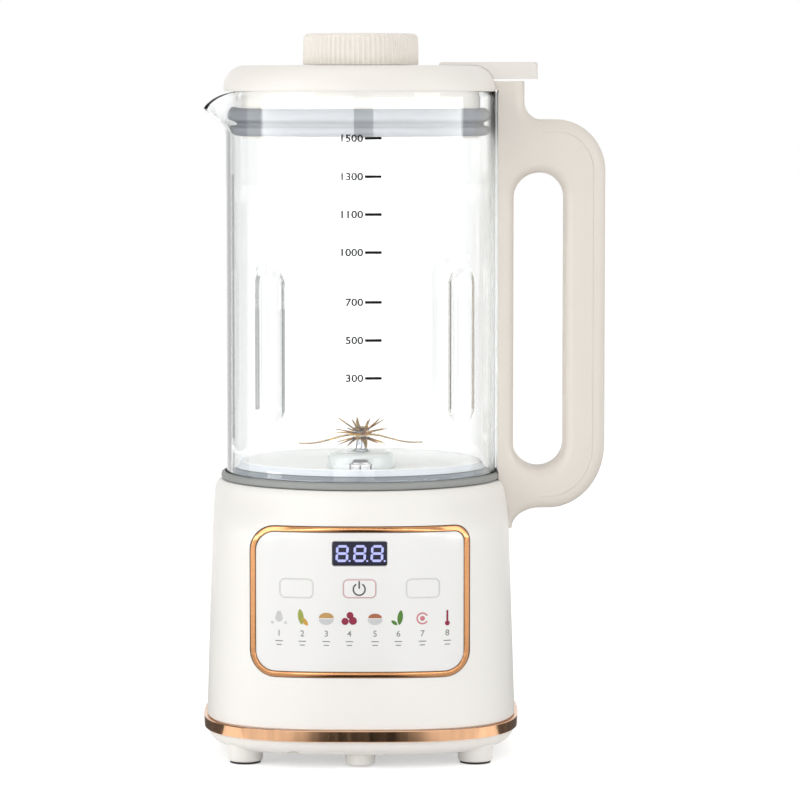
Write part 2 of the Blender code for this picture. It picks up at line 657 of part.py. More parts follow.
def wrapped_plate(outlines, proud, thickness):
    """A plate between an outer and an inner outline, bent to the housing's front."""
    rings = []
    for depth in (proud, proud - thickness):
        for outline in (outlines if depth == proud else reversed(outlines)):
            rings.append([(x, -front_depth(x, z) - depth, z) for x, z in outline])
    return skinned(rings, True)


def wrapped_solid(outline, proud, back_y):
    """A plug whose front follows the housing and whose back is flat."""
    front = [(x, -front_depth(x, z) - proud, z) for x, z in outline]
    back = [(x, back_y, z) for x, z in outline]
    return skinned([front, back], False)


# Base shell pieces

def base_housing(carrier, finish):
    turn_span = HOUSING_SHOULDER_Z - HOUSING_SQUARE_END_Z
    corner = HOUSING_TOP_Z - HOUSING_SHOULDER_Z
    heights = [BAND_TOP_Z]
    heights += [HOUSING_SQUARE_END_Z + share * turn_span for share in HOUSING_BLEND_SHARES]
    heights += [HOUSING_SHOULDER_Z + share * corner for share in HOUSING_CORNER_SHARES]
    step_inset = HOUSING_FOOT_HALF_WIDTH - BAND_HALF_WIDTH + BAND_WALL + SEAT_GAP
    rings = [housing_ring(BAND_LOW_Z, step_inset), housing_ring(BAND_TOP_Z, step_inset)]
    rings += [housing_ring(z, 0) for z in heights]
    under_z = HOUSING_TOP_Z - HOUSING_TOP_PLATE
    hole = HOUSING_HOLE_RADIUS
    rings.append(plan_ring(hole, hole, HOUSING_ROUND_EXPONENT, HOUSING_TOP_Z))
    rings.append(plan_ring(hole, hole, HOUSING_ROUND_EXPONENT, under_z))
    inner_heights = [HOUSING_SQUARE_END_Z + share * turn_span for share in HOUSING_INSIDE_SHARES]
    rings.append([(x, y, under_z) for x, y, z in housing_ring(HOUSING_SHOULDER_Z, HOUSING_WALL)])
    rings += [housing_ring(z, HOUSING_WALL) for z in inner_heights]
    rings.append([(x, y, BAND_LOW_Z) for x, y, z in housing_ring(BAND_TOP_Z, HOUSING_WALL)])
    shell = place("base_housing", skinned(rings, True), carrier, finish)
    cut(shell, prism(panel_outline(FRAME_WIDTH + SEAT_GAP), -HOUSING_FOOT_HALF_DEPTH - OVERRUN,
                     -PANEL_CUT_Y, "Y"))
    notch_half = HANDLE_HALF + NOTCH_SIDE_GAP
    cut(shell, box(COLLAR_RADIUS, HANDLE_NECK_X, -notch_half, notch_half, TAIL_TIP_Z - SEAT_GAP,
                   HOUSING_TOP_Z + OVERRUN))
    cut(shell, box(-INLET_HALF_WIDTH, INLET_HALF_WIDTH, INLET_CUT_Y, HOUSING_FOOT_HALF_DEPTH + OVERRUN,
                   INLET_Z - INLET_HALF_HEIGHT, INLET_Z + INLET_HALF_HEIGHT))
    return shell


def band_ring(carrier, finish):
    low = BAND_LOW_Z
    high = BAND_TOP_Z - SEAT_GAP
    rings = []
    for inset, z in ((0, low), (0, high), (BAND_WALL, high), (BAND_WALL, low)):
        half_width = BAND_HALF_WIDTH - inset
        half_depth = BAND_HALF_DEPTH - inset
        rings.append(plan_ring(half_width, half_depth, HOUSING_SQUARE_EXPONENT, z))
    return place("band_ring", skinned(rings, True), carrier, finish)


def bottom_cover(carrier, finish):
    rings = []
    for i in range(ARC_STEPS):
        angle = math.pi / 2 * i / (ARC_STEPS - 1)
        inset = COVER_EDGE_INSET * (1 - math.sin(angle))
        z = COVER_TOP_Z - COVER_HEIGHT * math.cos(angle)
        rings.append(plan_ring(COVER_HALF_WIDTH - inset, COVER_HALF_DEPTH - inset,
                               HOUSING_SQUARE_EXPONENT, z))
    inner_low = FOOT_HEIGHT + COVER_WALL
    for share in (1, 0):
        inset = COVER_WALL + COVER_EDGE_INSET * (1 - share) * (1 - share)
        z = inner_low + (COVER_TOP_Z - inner_low) * share
        rings.append(plan_ring(COVER_HALF_WIDTH - inset, COVER_HALF_DEPTH - inset,
                               HOUSING_SQUARE_EXPONENT, z))
    cover = place("bottom_cover", skinned(rings, False), carrier, finish)
    for i in range(VENT_COUNT):
        x = (i - (VENT_COUNT - 1) / 2) * VENT_PITCH
        cut(cover, box(x - VENT_WIDTH / 2, x + VENT_WIDTH / 2, -VENT_LENGTH / 2, VENT_LENGTH / 2,
                       FOOT_HEIGHT - OVERRUN, inner_low + OVERRUN))
    notch = circle((COVER_NOTCH_X, FOOT_HEIGHT), COVER_NOTCH_RADIUS, TINY_STEPS)
    cut(cover, prism(notch, -COVER_HALF_DEPTH, -COVER_HALF_DEPTH + COVER_EDGE_INSET + COVER_WALL, "Y"))
    for side in (-1, 1):
        x = side * (POWER_BOARD_HALF_WIDTH - POST_RADIUS)
        post = circle((x, POWER_BOARD_Y), POST_RADIUS, TINY_STEPS)
        join(cover, prism(post, inner_low - COVER_WALL / 2, inner_low + POWER_BOARD_POST, "Z"))
    for name, x, y in foot_places():
        moulded_foot(cover, x, y, FOOT_RADIUS)
        pocket = circle((x, y), PAD_RADIUS + SEAT_GAP, SMALL_STEPS)
        cut(cover, prism(pocket, -OVERRUN, PAD_THICKNESS + SEAT_GAP, "Z"))
    moulded_foot(cover, 0, -CENTRE_FOOT_FORWARD, CENTRE_FOOT_RADIUS)
    return cover


def moulded_foot(cover, x, y, radius):
    """A round foot moulded on the cover, with a pocket for its pad."""
    top = FOOT_HEIGHT + FOOT_ROOT
    profile = [(0, top), (radius, top), (radius, PAD_PROUD), (0, PAD_PROUD)]
    join(cover, turned(list(reversed(profile)), SMALL_STEPS, x, y))


def foot_places():
    for end, y in (("front", -FOOT_FORWARD), ("rear", FOOT_FORWARD)):
        for side, x in (("left", -FOOT_SIDE), ("right", FOOT_SIDE)):
            yield "foot_pad_" + end + "_" + side, x, y


def foot_pads(carrier, finish):
    profile = [(0, 0), (PAD_RADIUS, 0), (PAD_RADIUS, PAD_THICKNESS), (0, PAD_THICKNESS)]
    for name, x, y in foot_places():
        place(name, turned(profile, SMALL_STEPS, x, y), carrier, finish)


# Panel pieces

def panel_outline(grow):
    radii = [PANEL_TIGHT_CORNER_RADIUS + grow, PANEL_CORNER_RADIUS + grow, PANEL_CORNER_RADIUS + grow,
             PANEL_CORNER_RADIUS + grow]
    centre = (0, PANEL_CENTRE_Z)
    return split_long_sides(
        rounded_rectangle(centre, PANEL_HALF_WIDTH + grow, PANEL_HALF_HEIGHT + grow, radii))


def split_long_sides(outline):
    """Adds points along the straight runs so that the outline can bend with the housing."""
    points = []
    for start, end in zip(outline, outline[1:] + outline[:1]):
        pieces = max(1, round(abs(end[0] - start[0]) / PANEL_CORNER_RADIUS))
        for i in range(pieces):
            share = i / pieces
            points.append((start[0] + (end[0] - start[0]) * share, start[1] + (end[1] - start[1]) * share))
    return points


def panel_frame(carrier, finish):
    outlines = [panel_outline(FRAME_WIDTH), panel_outline(0)]
    return place("panel_frame", wrapped_plate(outlines, FRAME_PROUD, FRAME_DEPTH), carrier, finish)


def panel_rows(half_width, half_height, centre_z, radius, grow):
    radii = [radius + grow] * 4
    return rounded_rectangle((0, centre_z), half_width + grow, half_height + grow, radii)


def control_panel(carrier, finish):
    """White panel with a display window and three key holes, on pillars that carry the board."""
    outline = panel_outline(-SEAT_GAP)
    front_plane = HOUSING_FOOT_HALF_DEPTH + OVERRUN
    panel = place("control_panel", panel_slab(outline), carrier, finish)
    cut(panel, prism(display_outline(SEAT_GAP), -front_plane, -PANEL_CUT_Y, "Y"))
    for x in (-KEY_SPACING, 0, KEY_SPACING):
        hole = [(x + u, v) for u, v in key_outline(SEAT_GAP)]
        cut(panel, prism(hole, -front_plane, -PANEL_CUT_Y, "Y"))
    return panel


def panel_slab(outline):
    """The panel as strips across its width, so that it bends with the housing."""
    bm = bmesh.new()
    face = bm.faces.new([bm.verts.new((x, 0, z)) for x, z in outline])
    strips = round(PANEL_HALF_WIDTH / PANEL_CORNER_RADIUS)
    for i in range(-strips + 1, strips):
        cut_x = PANEL_HALF_WIDTH * i / strips
        bmesh.ops.bisect_plane(bm, geom=bm.verts[:] + bm.edges[:] + bm.faces[:], dist=MERGE_DISTANCE,
                               plane_co=(cut_x, 0, 0), plane_no=(1, 0, 0))
    front = list(bm.faces)
    back = bmesh.ops.extrude_face_region(bm, geom=front, use_keep_orig=True)
    moved = [item for item in back["geom"] if isinstance(item, bmesh.types.BMVert)]
    for vert in moved:
        vert.co.y += PANEL_THICKNESS
    for vert in bm.verts:
        vert.co.y -= front_depth(vert.co.x, vert.co.z)
    return bm


def key_outline(grow):
    return panel_rows(KEY_HALF_WIDTH, KEY_HALF_HEIGHT, KEY_CENTRE_Z, KEY_CORNER_RADIUS, grow)


def key(name, x, carrier, finish):
    outline = [(x + u, v) for u, v in key_outline(0)]
    back_y = -front_depth(x, KEY_CENTRE_Z) + KEY_DEPTH
    return place(name, wrapped_solid(outline, 0, back_y), carrier, finish)


def board_y():
    return -front_depth(BOARD_HALF_WIDTH, KEY_CENTRE_Z) + PANEL_THICKNESS + BOARD_GAP


def display(carrier, finish):
    outline = display_outline(0)
    back_y = min(board_y() - SEAT_GAP, -WELL_OUTER_RADIUS - DISPLAY_WELL_GAP)
    return place("display", wrapped_solid(outline, -DISPLAY_RECESS, back_y), carrier, finish)


def display_outline(grow):
    return panel_rows(DISPLAY_HALF_WIDTH, DISPLAY_HALF_HEIGHT, DISPLAY_CENTRE_Z, DISPLAY_CORNER_RADIUS,
                      grow)


def control_board(carrier, finish):
    """Board behind the panel, with a small switch for each key."""
    shape = box(-BOARD_HALF_WIDTH, BOARD_HALF_WIDTH, board_y(), board_y() + BOARD_THICKNESS, BOARD_LOW_Z,
                BOARD_HIGH_Z)
    board = place("control_board", shape, carrier, finish)
    for x in (-KEY_SPACING, 0, KEY_SPACING):
        switch_y = -front_depth(x, KEY_CENTRE_Z) + KEY_DEPTH + KEY_TRAVEL + SEAT_GAP
        outline = circle((x, KEY_CENTRE_Z), SWITCH_RADIUS, TINY_STEPS)
        join(board, prism(outline, switch_y, board_y() + BOARD_THICKNESS / 2, "Y"))
    return board


# Well, coupler and inlet

def seat_well(carrier, finish):
    flange_radius = WELL_OUTER_RADIUS + WELL_FLANGE
    flange_low = WELL_TOP_Z - WELL_FLANGE_THICKNESS
    upstand_top = WELL_FLOOR_Z + UPSTAND_HEIGHT
    upstand_outer = UPSTAND_RADIUS + UPSTAND_WALL
    profile = [(flange_radius, WELL_TOP_Z), (flange_radius, flange_low), (WELL_OUTER_RADIUS, flange_low),
               (WELL_OUTER_RADIUS, WELL_UNDER_Z), (UPSTAND_RADIUS, WELL_UNDER_Z),
               (UPSTAND_RADIUS, upstand_top), (upstand_outer, upstand_top), (upstand_outer, WELL_FLOOR_Z),
               (WELL_RADIUS, WELL_FLOOR_Z), (WELL_RADIUS, WELL_TOP_Z)]
    well = place("seat_well", turned(profile, MEDIUM_STEPS), carrier, finish)
    bay_half = HANDLE_HALF + NOTCH_SIDE_GAP
    wall_half = bay_half + BAY_WALL
    join(well, box(WELL_RADIUS + WELL_WALL / 2, BAY_REACH, -wall_half, wall_half, WELL_UNDER_Z,
                   flange_low + WELL_FLANGE_THICKNESS / 2))
    cut(well, box(WELL_RADIUS - BAY_WALL, HANDLE_NECK_X, -bay_half, bay_half, TAIL_TIP_Z - SEAT_GAP,
                  HOUSING_TOP_Z + OVERRUN))
    cut(well, coupler_block(SEAT_GAP, WELL_UNDER_Z - OVERRUN, WELL_FLOOR_Z + OVERRUN))
    return well


def coupler_block(grow, low, high):
    half_width = COUPLER_HALF_WIDTH + grow
    half_depth = COUPLER_HALF_DEPTH + grow
    return box(-half_width, half_width, COUPLER_Y - half_depth, COUPLER_Y + half_depth, low, high)


def pin_places():
    return [(i * COUPLER_PIN_SPACING, COUPLER_Y) for i in (-1, 0, 1)]


def coupler_socket(carrier, finish):
    socket = place("coupler_socket", coupler_block(0, WELL_FLOOR_Z - COUPLER_DEPTH, WELL_FLOOR_Z), carrier,
                   finish)
    hole_low = WELL_FLOOR_Z - COUPLER_PIN_LENGTH - RUNNING_GAP
    for centre in pin_places():
        hole = circle(centre, COUPLER_PIN_RADIUS + RUNNING_GAP, TINY_STEPS)
        cut(socket, prism(hole, hole_low, WELL_FLOOR_Z + OVERRUN, "Z"))
    return socket


def coupler_plug(carrier, finish):
    low = COLLAR_LOW_Z + SEAT_GAP
    plug = place("coupler_plug", coupler_block(-SEAT_GAP, low, low + COUPLER_DEPTH), carrier, finish)
    for centre in pin_places():
        pin = circle(centre, COUPLER_PIN_RADIUS, TINY_STEPS)
        join(plug, prism(pin, WELL_FLOOR_Z - COUPLER_PIN_LENGTH, low + COUPLER_DEPTH / 2, "Z"))
    return plug


def power_inlet(carrier, finish):
    back = front_depth(0, INLET_Z)
    flange_half_width = INLET_HALF_WIDTH + INLET_FLANGE
    flange_half_height = INLET_HALF_HEIGHT + INLET_FLANGE
    flange_y = back + SEAT_GAP
    outer_y = flange_y + INLET_PROUD
    inner_y = BRACKET_RADIUS + INLET_MOTOR_GAP
    inlet = place("power_inlet", box(-flange_half_width, flange_half_width, flange_y, outer_y,
                                     INLET_Z - flange_half_height, INLET_Z + flange_half_height),
                  carrier, finish)
    half_width = INLET_HALF_WIDTH - SEAT_GAP
    half_height = INLET_HALF_HEIGHT - SEAT_GAP
    join(inlet, box(-half_width, half_width, inner_y, flange_y + INLET_PROUD / 2, INLET_Z - half_height,
                    INLET_Z + half_height))
    mouth_half_width = half_width - INLET_WALL
    mouth_half_height = half_height - INLET_WALL
    cut(inlet, box(-mouth_half_width, mouth_half_width, inner_y + INLET_WALL, outer_y + OVERRUN,
                   INLET_Z - mouth_half_height, INLET_Z + mouth_half_height))
    for i in (-1, 0, 1):
        pin = circle((i * INLET_PIN_SPACING, INLET_Z), INLET_PIN_RADIUS, TINY_STEPS)
        join(inlet, prism(pin, inner_y + INLET_WALL / 2, back - INLET_WALL, "Y"))
    return inlet


def power_board(carrier, finish):
    low = FOOT_HEIGHT + COVER_WALL + POWER_BOARD_POST + SEAT_GAP
    return place("power_board", box(-POWER_BOARD_HALF_WIDTH, POWER_BOARD_HALF_WIDTH,
                                    POWER_BOARD_Y - POWER_BOARD_HALF_DEPTH,
                                    POWER_BOARD_Y + POWER_BOARD_HALF_DEPTH, low, low + BOARD_THICKNESS),
                 carrier, finish)


# Motor pieces

def tube(inner, outer, low, high):
    return [(outer, high), (outer, low), (inner, low), (inner, high)]


def motor_damper(carrier, finish):
    """Rubber ring between the well and the motor, cut away where the coupler hangs down."""
    low = UPPER_BRACKET_TOP_Z + SEAT_GAP
    high = low + DAMPER_HEIGHT
    profile = tube(DAMPER_CIRCLE - DAMPER_WIDTH, DAMPER_CIRCLE, low, high)
    ring = place("motor_damper", turned(profile, SMALL_STEPS), carrier, finish)
    cut(ring, coupler_block(RUNNING_GAP, low - OVERRUN, high + OVERRUN))
    return ring


def bracket(name, low, high, leg_low, leg_high, carrier, finish):
    """A plate with a bearing pocket and two legs that meet the stator."""
    bore = BEARING_RADIUS + SEAT_GAP
    web = SHAFT_RADIUS + BRACKET_SHAFT_GAP
    pocket_low = high - BEARING_HEIGHT
    hub_low = pocket_low - BRACKET_PLATE / 2
    profile = [(BRACKET_RADIUS, high), (BRACKET_RADIUS, low), (BRACKET_HUB_RADIUS, low),
               (BRACKET_HUB_RADIUS, hub_low), (web, hub_low), (web, pocket_low), (bore, pocket_low),
               (bore, high)]
    plate = place(name, turned(profile, SMALL_STEPS), carrier, finish)
    leg_outer = STATOR_RADIUS
    leg_inner = leg_outer - BRACKET_LEG_THICKNESS
    half = BRACKET_LEG_WIDTH / 2
    for side in (-1, 1):
        x_low, x_high = sorted((side * leg_inner, side * leg_outer))
        join(plate, box(x_low, x_high, -half, half, leg_low, leg_high))
    return plate


def motor_fixed(carrier, steel, core, rubber):
    motor_damper(carrier, rubber)
    upper_middle = UPPER_BRACKET_LOW_Z + BRACKET_PLATE / 2
    lower_middle = LOWER_BRACKET_TOP_Z - BRACKET_PLATE / 2
    bracket("upper_bracket", UPPER_BRACKET_LOW_Z, UPPER_BRACKET_TOP_Z, STATOR_TOP_Z + SEAT_GAP,
            upper_middle, carrier, steel)
    bracket("lower_bracket", LOWER_BRACKET_LOW_Z, LOWER_BRACKET_TOP_Z, lower_middle,
            STATOR_LOW_Z - SEAT_GAP, carrier, steel)
    bearing_bore = SHAFT_RADIUS + SEAT_GAP
    for name, top in (("upper_bearing", UPPER_BRACKET_TOP_Z), ("lower_bearing", LOWER_BRACKET_TOP_Z)):
        low = top - BEARING_HEIGHT + SEAT_GAP
        place(name, turned(tube(bearing_bore, BEARING_RADIUS, low, top), SMALL_STEPS), carrier, steel)
    place("stator", turned(tube(STATOR_BORE, STATOR_RADIUS, STATOR_LOW_Z, STATOR_TOP_Z), SMALL_STEPS),
          carrier, core)


def brushes(carrier, finish):
    low = LOWER_BRACKET_TOP_Z + SEAT_GAP
    half = BRUSH_WIDTH / 2
    start = COMMUTATOR_RADIUS + RUNNING_GAP
    for name, side in (("brush_left", -1), ("brush_right", 1)):
        x_low, x_high = sorted((side * start, side * (start + BRUSH_LENGTH)))
        place(name, box(x_low, x_high, -half, half, low, low + BRUSH_HEIGHT), carrier, finish)


def shaft_seal(carrier, finish):
    bore = SHAFT_RADIUS + RUNNING_GAP
    outer = UPSTAND_RADIUS - SEAT_GAP
    return place("shaft_seal", turned(tube(bore, outer, WELL_UNDER_Z, WELL_FLOOR_Z), SMALL_STEPS), carrier,
                 finish)


def motor_rotor(carrier, steel, core, plastic):
    rod = [(0, SHAFT_LOW_Z), (SHAFT_RADIUS, SHAFT_LOW_Z), (SHAFT_RADIUS, SPLINE_TOP_Z), (0, SPLINE_TOP_Z)]
    place("motor_shaft", turned(rod, SMALL_STEPS), carrier, steel)
    bore = SHAFT_RADIUS + SEAT_GAP
    ends = (ARMATURE_LOW_Z - WINDING_HEIGHT, ARMATURE_TOP_Z + WINDING_HEIGHT)
    commutator_low = LOWER_BRACKET_TOP_Z + RUNNING_GAP
    profile = [(bore, ends[1]), (WINDING_RADIUS, ends[1]), (WINDING_RADIUS, ARMATURE_TOP_Z),
               (ARMATURE_RADIUS, ARMATURE_TOP_Z), (ARMATURE_RADIUS, ARMATURE_LOW_Z),
               (WINDING_RADIUS, ARMATURE_LOW_Z), (WINDING_RADIUS, ends[0]), (COMMUTATOR_RADIUS, ends[0]),
               (COMMUTATOR_RADIUS, commutator_low), (bore, commutator_low)]
    place("armature", turned(profile, SMALL_STEPS), carrier, core)
    cooling_fan(carrier, plastic)
    spline(carrier, plastic)


def cooling_fan(carrier, finish):
    bore = SHAFT_RADIUS + SEAT_GAP
    high = LOWER_BRACKET_LOW_Z - BEARING_HEIGHT - RUNNING_GAP
    low = high - FAN_HEIGHT
    profile = [(bore, high), (FAN_HUB_RADIUS, high), (FAN_HUB_RADIUS, low + FAN_PLATE),
               (FAN_RADIUS, low + FAN_PLATE), (FAN_RADIUS, low), (bore, low)]
    fan = place("cooling_fan", turned(profile, SMALL_STEPS), carrier, finish)
    half = FAN_BLADE_THICKNESS / 2
    for i in range(FAN_BLADES):
        blade = box(FAN_HUB_RADIUS - half, FAN_RADIUS - half, -half, half, low + FAN_PLATE / 2, high - half)
        turn = math.tau * i / FAN_BLADES
        bmesh.ops.rotate(blade, verts=blade.verts, cent=(0, 0, 0), matrix=Matrix.Rotation(turn, 3, "Z"))
        join(fan, blade)
    return fan


def star_outline(tip_radius, root_radius, teeth):
    """Outline with square teeth, four points to a tooth."""
    points = []
    count = teeth * POINTS_PER_TOOTH
    for i in range(count):
        angle = math.tau * (i + 1 / 2) / count
        radius = tip_radius if i % POINTS_PER_TOOTH < 2 else root_radius
        points.append((radius * math.cos(angle), radius * math.sin(angle)))
    return points


def spline(carrier, finish):
    outer = star_outline(SPLINE_RADIUS, SPLINE_ROOT_RADIUS, SPLINE_TEETH)
    bore = star_outline(SHAFT_RADIUS + SEAT_GAP, SHAFT_RADIUS + SEAT_GAP, SPLINE_TEETH)
    return place("drive_spline", hollow_prism(outer, bore, SPLINE_LOW_Z, SPLINE_TOP_Z), carrier, finish)


def hollow_prism(outer, inner, low, high):
    rings = [[(x, y, low) for x, y in outer], [(x, y, high) for x, y in outer],
             [(x, y, high) for x, y in inner], [(x, y, low) for x, y in inner]]
    return skinned(rings, True)


# Jug pieces

def glass_columns():
    """Azimuths of the glass's columns, closer together across each pressed-in flute."""
    half = FLUTE_HALF_WIDTH / GLASS_RADIUS
    angles = []
    for i in range(FLUTE_COUNT):
        middle = FLUTE_AZIMUTH + math.tau * i / FLUTE_COUNT
        angles += [middle + share * half for share in FLUTE_WIDTH_SHARES]
        span = math.tau / FLUTE_COUNT - 2 * half
        for j in range(1, COLUMNS_BETWEEN_FLUTES):
            angles.append(middle + half + span * j / COLUMNS_BETWEEN_FLUTES)
    nearest = min(angles, key=lambda angle: abs(angle - SPOUT_AZIMUTH))
    return [SPOUT_AZIMUTH if angle == nearest else angle for angle in angles]


def flute_press(azimuth, z):
    """How far a flute presses the wall inwards at a place."""
    half = FLUTE_HALF_WIDTH / GLASS_RADIUS
    pitch = math.tau / FLUTE_COUNT
    offset = (azimuth - FLUTE_AZIMUTH + pitch / 2) % pitch - pitch / 2
    across = max(0, 1 - (offset / half) ** 2)
    reach = min(max(min(z - FLUTE_LOW_Z, FLUTE_HIGH_Z - z) / FLUTE_END, 0), 1)
    return FLUTE_DEPTH * across * math.sin(reach * math.pi / 2)


def spout_weight(azimuth):
    offset = abs(azimuth % math.tau - SPOUT_AZIMUTH)
    if offset >= SPOUT_HALF_ANGLE:
        return 0.0
    return math.cos(offset / SPOUT_HALF_ANGLE * math.pi / 2) ** 2


def glass_ring(radius, z):
    ring = []
    for azimuth in glass_columns():
        rise = min(max((z - SPOUT_ROOT_Z) / (GLASS_RIM_Z - SPOUT_ROOT_Z), 0), 1)
        weight = spout_weight(azimuth)
        place_radius = radius - flute_press(azimuth, z)
        place_radius += (SPOUT_REACH - GLASS_RADIUS) * weight * rise
        height = z - SPOUT_DROP * weight * rise
        ring.append((place_radius * math.sin(azimuth), -place_radius * math.cos(azimuth), height))
    return ring


def glass_heights():
    heights = []
    for share in FLUTE_END_SHARES:
        heights.append(FLUTE_LOW_Z + FLUTE_END * share)
    for share in reversed(FLUTE_END_SHARES):
        heights.append(FLUTE_HIGH_Z - FLUTE_END * share)
    for share in SPOUT_RISE_SHARES:
        heights.append(SPOUT_ROOT_Z + (GLASS_RIM_Z - SPOUT_ROOT_Z) * share)
    return heights


def jug_glass(carrier, finish):
    inner_low = GLASS_LOW_Z + GLASS_LIP_THICKNESS
    rings = [glass_ring(GLASS_LIP_RADIUS, GLASS_LOW_Z), glass_ring(GLASS_RADIUS, GLASS_LOW_Z)]
    rings += [glass_ring(GLASS_RADIUS, z) for z in glass_heights()]
    rings += [glass_ring(GLASS_INNER_RADIUS, z) for z in reversed(glass_heights())]
    rings += [glass_ring(GLASS_INNER_RADIUS, inner_low), glass_ring(GLASS_LIP_RADIUS, inner_low)]
    return place("jug_glass", skinned(rings, True), carrier, finish)


def jug_gasket(carrier, finish):
    """Soft ring whose lip stands round the foot of the glass and whose plate lies under it."""
    groove = GLASS_RADIUS + GASKET_LIP_GAP
    step = COLLAR_FLANGE_RADIUS + SEAT_GAP
    profile = [(HOUSING_RIM_RADIUS, GASKET_LOW_Z), (HOUSING_RIM_RADIUS, GASKET_TOP_Z),
               (groove, GASKET_TOP_Z), (groove, GASKET_PLATE_TOP_Z), (GLASS_LIP_RADIUS, GASKET_PLATE_TOP_Z),
               (GLASS_LIP_RADIUS, GASKET_PLATE_LOW_Z), (step, GASKET_PLATE_LOW_Z), (step, GASKET_LOW_Z)]
    return place("jug_gasket", turned(profile), carrier, finish)


def jug_collar(carrier, finish):
    inner = COLLAR_RADIUS - COLLAR_WALL
    flange_low = COLLAR_TOP_Z - COLLAR_FLANGE_THICKNESS
    profile = [(COLLAR_FLANGE_RADIUS, COLLAR_TOP_Z), (COLLAR_FLANGE_RADIUS, flange_low),
               (COLLAR_RADIUS, flange_low), (COLLAR_RADIUS, COLLAR_LOW_Z), (inner, COLLAR_LOW_Z),
               (inner, flange_low), (COLLAR_FLANGE_BORE, flange_low), (COLLAR_FLANGE_BORE, COLLAR_TOP_Z)]
    return place("jug_collar", turned(profile, MEDIUM_STEPS), carrier, finish)


def jug_base_plate(carrier, finish):
    low = COLLAR_LOW_Z + SEAT_GAP
    bore = UPSTAND_RADIUS + UPSTAND_WALL + RUNNING_GAP
    outer = COLLAR_RADIUS - COLLAR_WALL - SEAT_GAP
    profile = tube(bore, outer, low, low + BASE_PLATE_THICKNESS)
    plate = place("jug_base_plate", turned(profile, MEDIUM_STEPS), carrier, finish)
    cut(plate, coupler_block(0, low - OVERRUN, low + OVERRUN))
    return plate


def jug_floor(carrier, finish):
    outer = GLASS_INNER_RADIUS - SEAT_GAP
    bore = STEM_RADIUS + SEAT_GAP
    ring_top = FLOOR_TOP_Z + FLOOR_RING_HEIGHT
    profile = [(outer, ring_top), (outer, FLOOR_LOW_Z), (bore, FLOOR_LOW_Z), (bore, FLOOR_TOP_Z),
               (outer - FLOOR_RING_WIDTH - FLOOR_RING_HEIGHT, FLOOR_TOP_Z),
               (outer - FLOOR_RING_WIDTH, ring_top)]
    floor = place("jug_floor", turned(profile), carrier, finish)
    cut(floor, probe_hole(FLOOR_LOW_Z - OVERRUN, FLOOR_TOP_Z + OVERRUN))
    return floor


def probe_hole(low, high):
    outline = circle((0, -PROBE_FORWARD), PROBE_STEM_RADIUS + SEAT_GAP, TINY_STEPS)
    return prism(outline, low, high, "Z")


def heater_disc(carrier, finish):
    """Disc under the jug's floor with its ring-shaped heating tube brazed on below."""
    bore = STEM_RADIUS + SEAT_GAP
    radius = ELEMENT_THICKNESS / 2
    ring = arc((ELEMENT_RADIUS, HEATER_LOW_Z - radius / 2), (radius, radius), 30, -210, TINY_STEPS)
    profile = [(HEATER_RADIUS, HEATER_TOP_Z), (HEATER_RADIUS, HEATER_LOW_Z)] + ring
    profile += [(bore, HEATER_LOW_Z), (bore, HEATER_TOP_Z)]
    disc = place("heater_disc", turned(profile, MEDIUM_STEPS), carrier, finish)
    cut(disc, probe_hole(HEATER_LOW_Z - OVERRUN, HEATER_TOP_Z + OVERRUN))
    return disc


def blade_seat(carrier, finish):
    """Bearing seat: its head stands on the jug's floor and its stem passes through to the nut."""
    bore = BLADE_SHAFT_RADIUS + RUNNING_GAP
    pocket = STEM_RADIUS - STEM_WALL
    pocket_top = SEAT_TOP_Z - SEAT_ROOF
    profile = [(bore, SEAT_TOP_Z), (SEAT_RADIUS - SEAT_EDGE, SEAT_TOP_Z),
               (SEAT_RADIUS, SEAT_TOP_Z - SEAT_EDGE), (SEAT_RADIUS, SEAT_LOW_Z), (STEM_RADIUS, SEAT_LOW_Z),
               (STEM_RADIUS, STEM_LOW_Z), (pocket, STEM_LOW_Z), (pocket, pocket_top), (bore, pocket_top)]
    return place("blade_seat", turned(profile, SMALL_STEPS), carrier, finish)


def blade_bush(carrier, finish):
    outer = STEM_RADIUS - STEM_WALL - SEAT_GAP
    bore = BLADE_SHAFT_RADIUS + SEAT_GAP
    top = SEAT_TOP_Z - SEAT_ROOF - SEAT_GAP
    return place("blade_bush", turned(tube(bore, outer, STEM_LOW_Z, top), SMALL_STEPS), carrier, finish)


def clamp_nut(carrier, finish):
    high = HEATER_LOW_Z - SEAT_GAP
    low = high - CLAMP_NUT_HEIGHT
    shape = prism(circle((0, 0), CLAMP_NUT_RADIUS, HEXAGON), low, high, "Z")
    item = place("clamp_nut", shape, carrier, finish)
    bore = circle((0, 0), STEM_RADIUS + SEAT_GAP, SMALL_STEPS)
    cut(item, prism(bore, low - OVERRUN, high + OVERRUN, "Z"))
    return item


def temperature_probe(carrier, finish):
    """Hexagonal probe head on the jug's floor, a corner to the front, with its stem below."""
    head = []
    for i in range(HEXAGON):
        angle = math.tau * i / HEXAGON
        head.append((PROBE_RADIUS * math.sin(angle), -PROBE_FORWARD - PROBE_RADIUS * math.cos(angle)))
    probe = place("temperature_probe", prism(head, SEAT_LOW_Z, SEAT_LOW_Z + PROBE_HEIGHT, "Z"), carrier,
                  finish)
    stem = circle((0, -PROBE_FORWARD), PROBE_STEM_RADIUS, TINY_STEPS)
    join(probe, prism(stem, SEAT_LOW_Z - PROBE_STEM_LENGTH, SEAT_LOW_Z + PROBE_HEIGHT / 2, "Z"))
    return probe


# Handle pieces

def handle_outer_curve():
    """Outer edge of the grip, from the upper seam to the lower seam."""
    return handle_seam_curve(0)


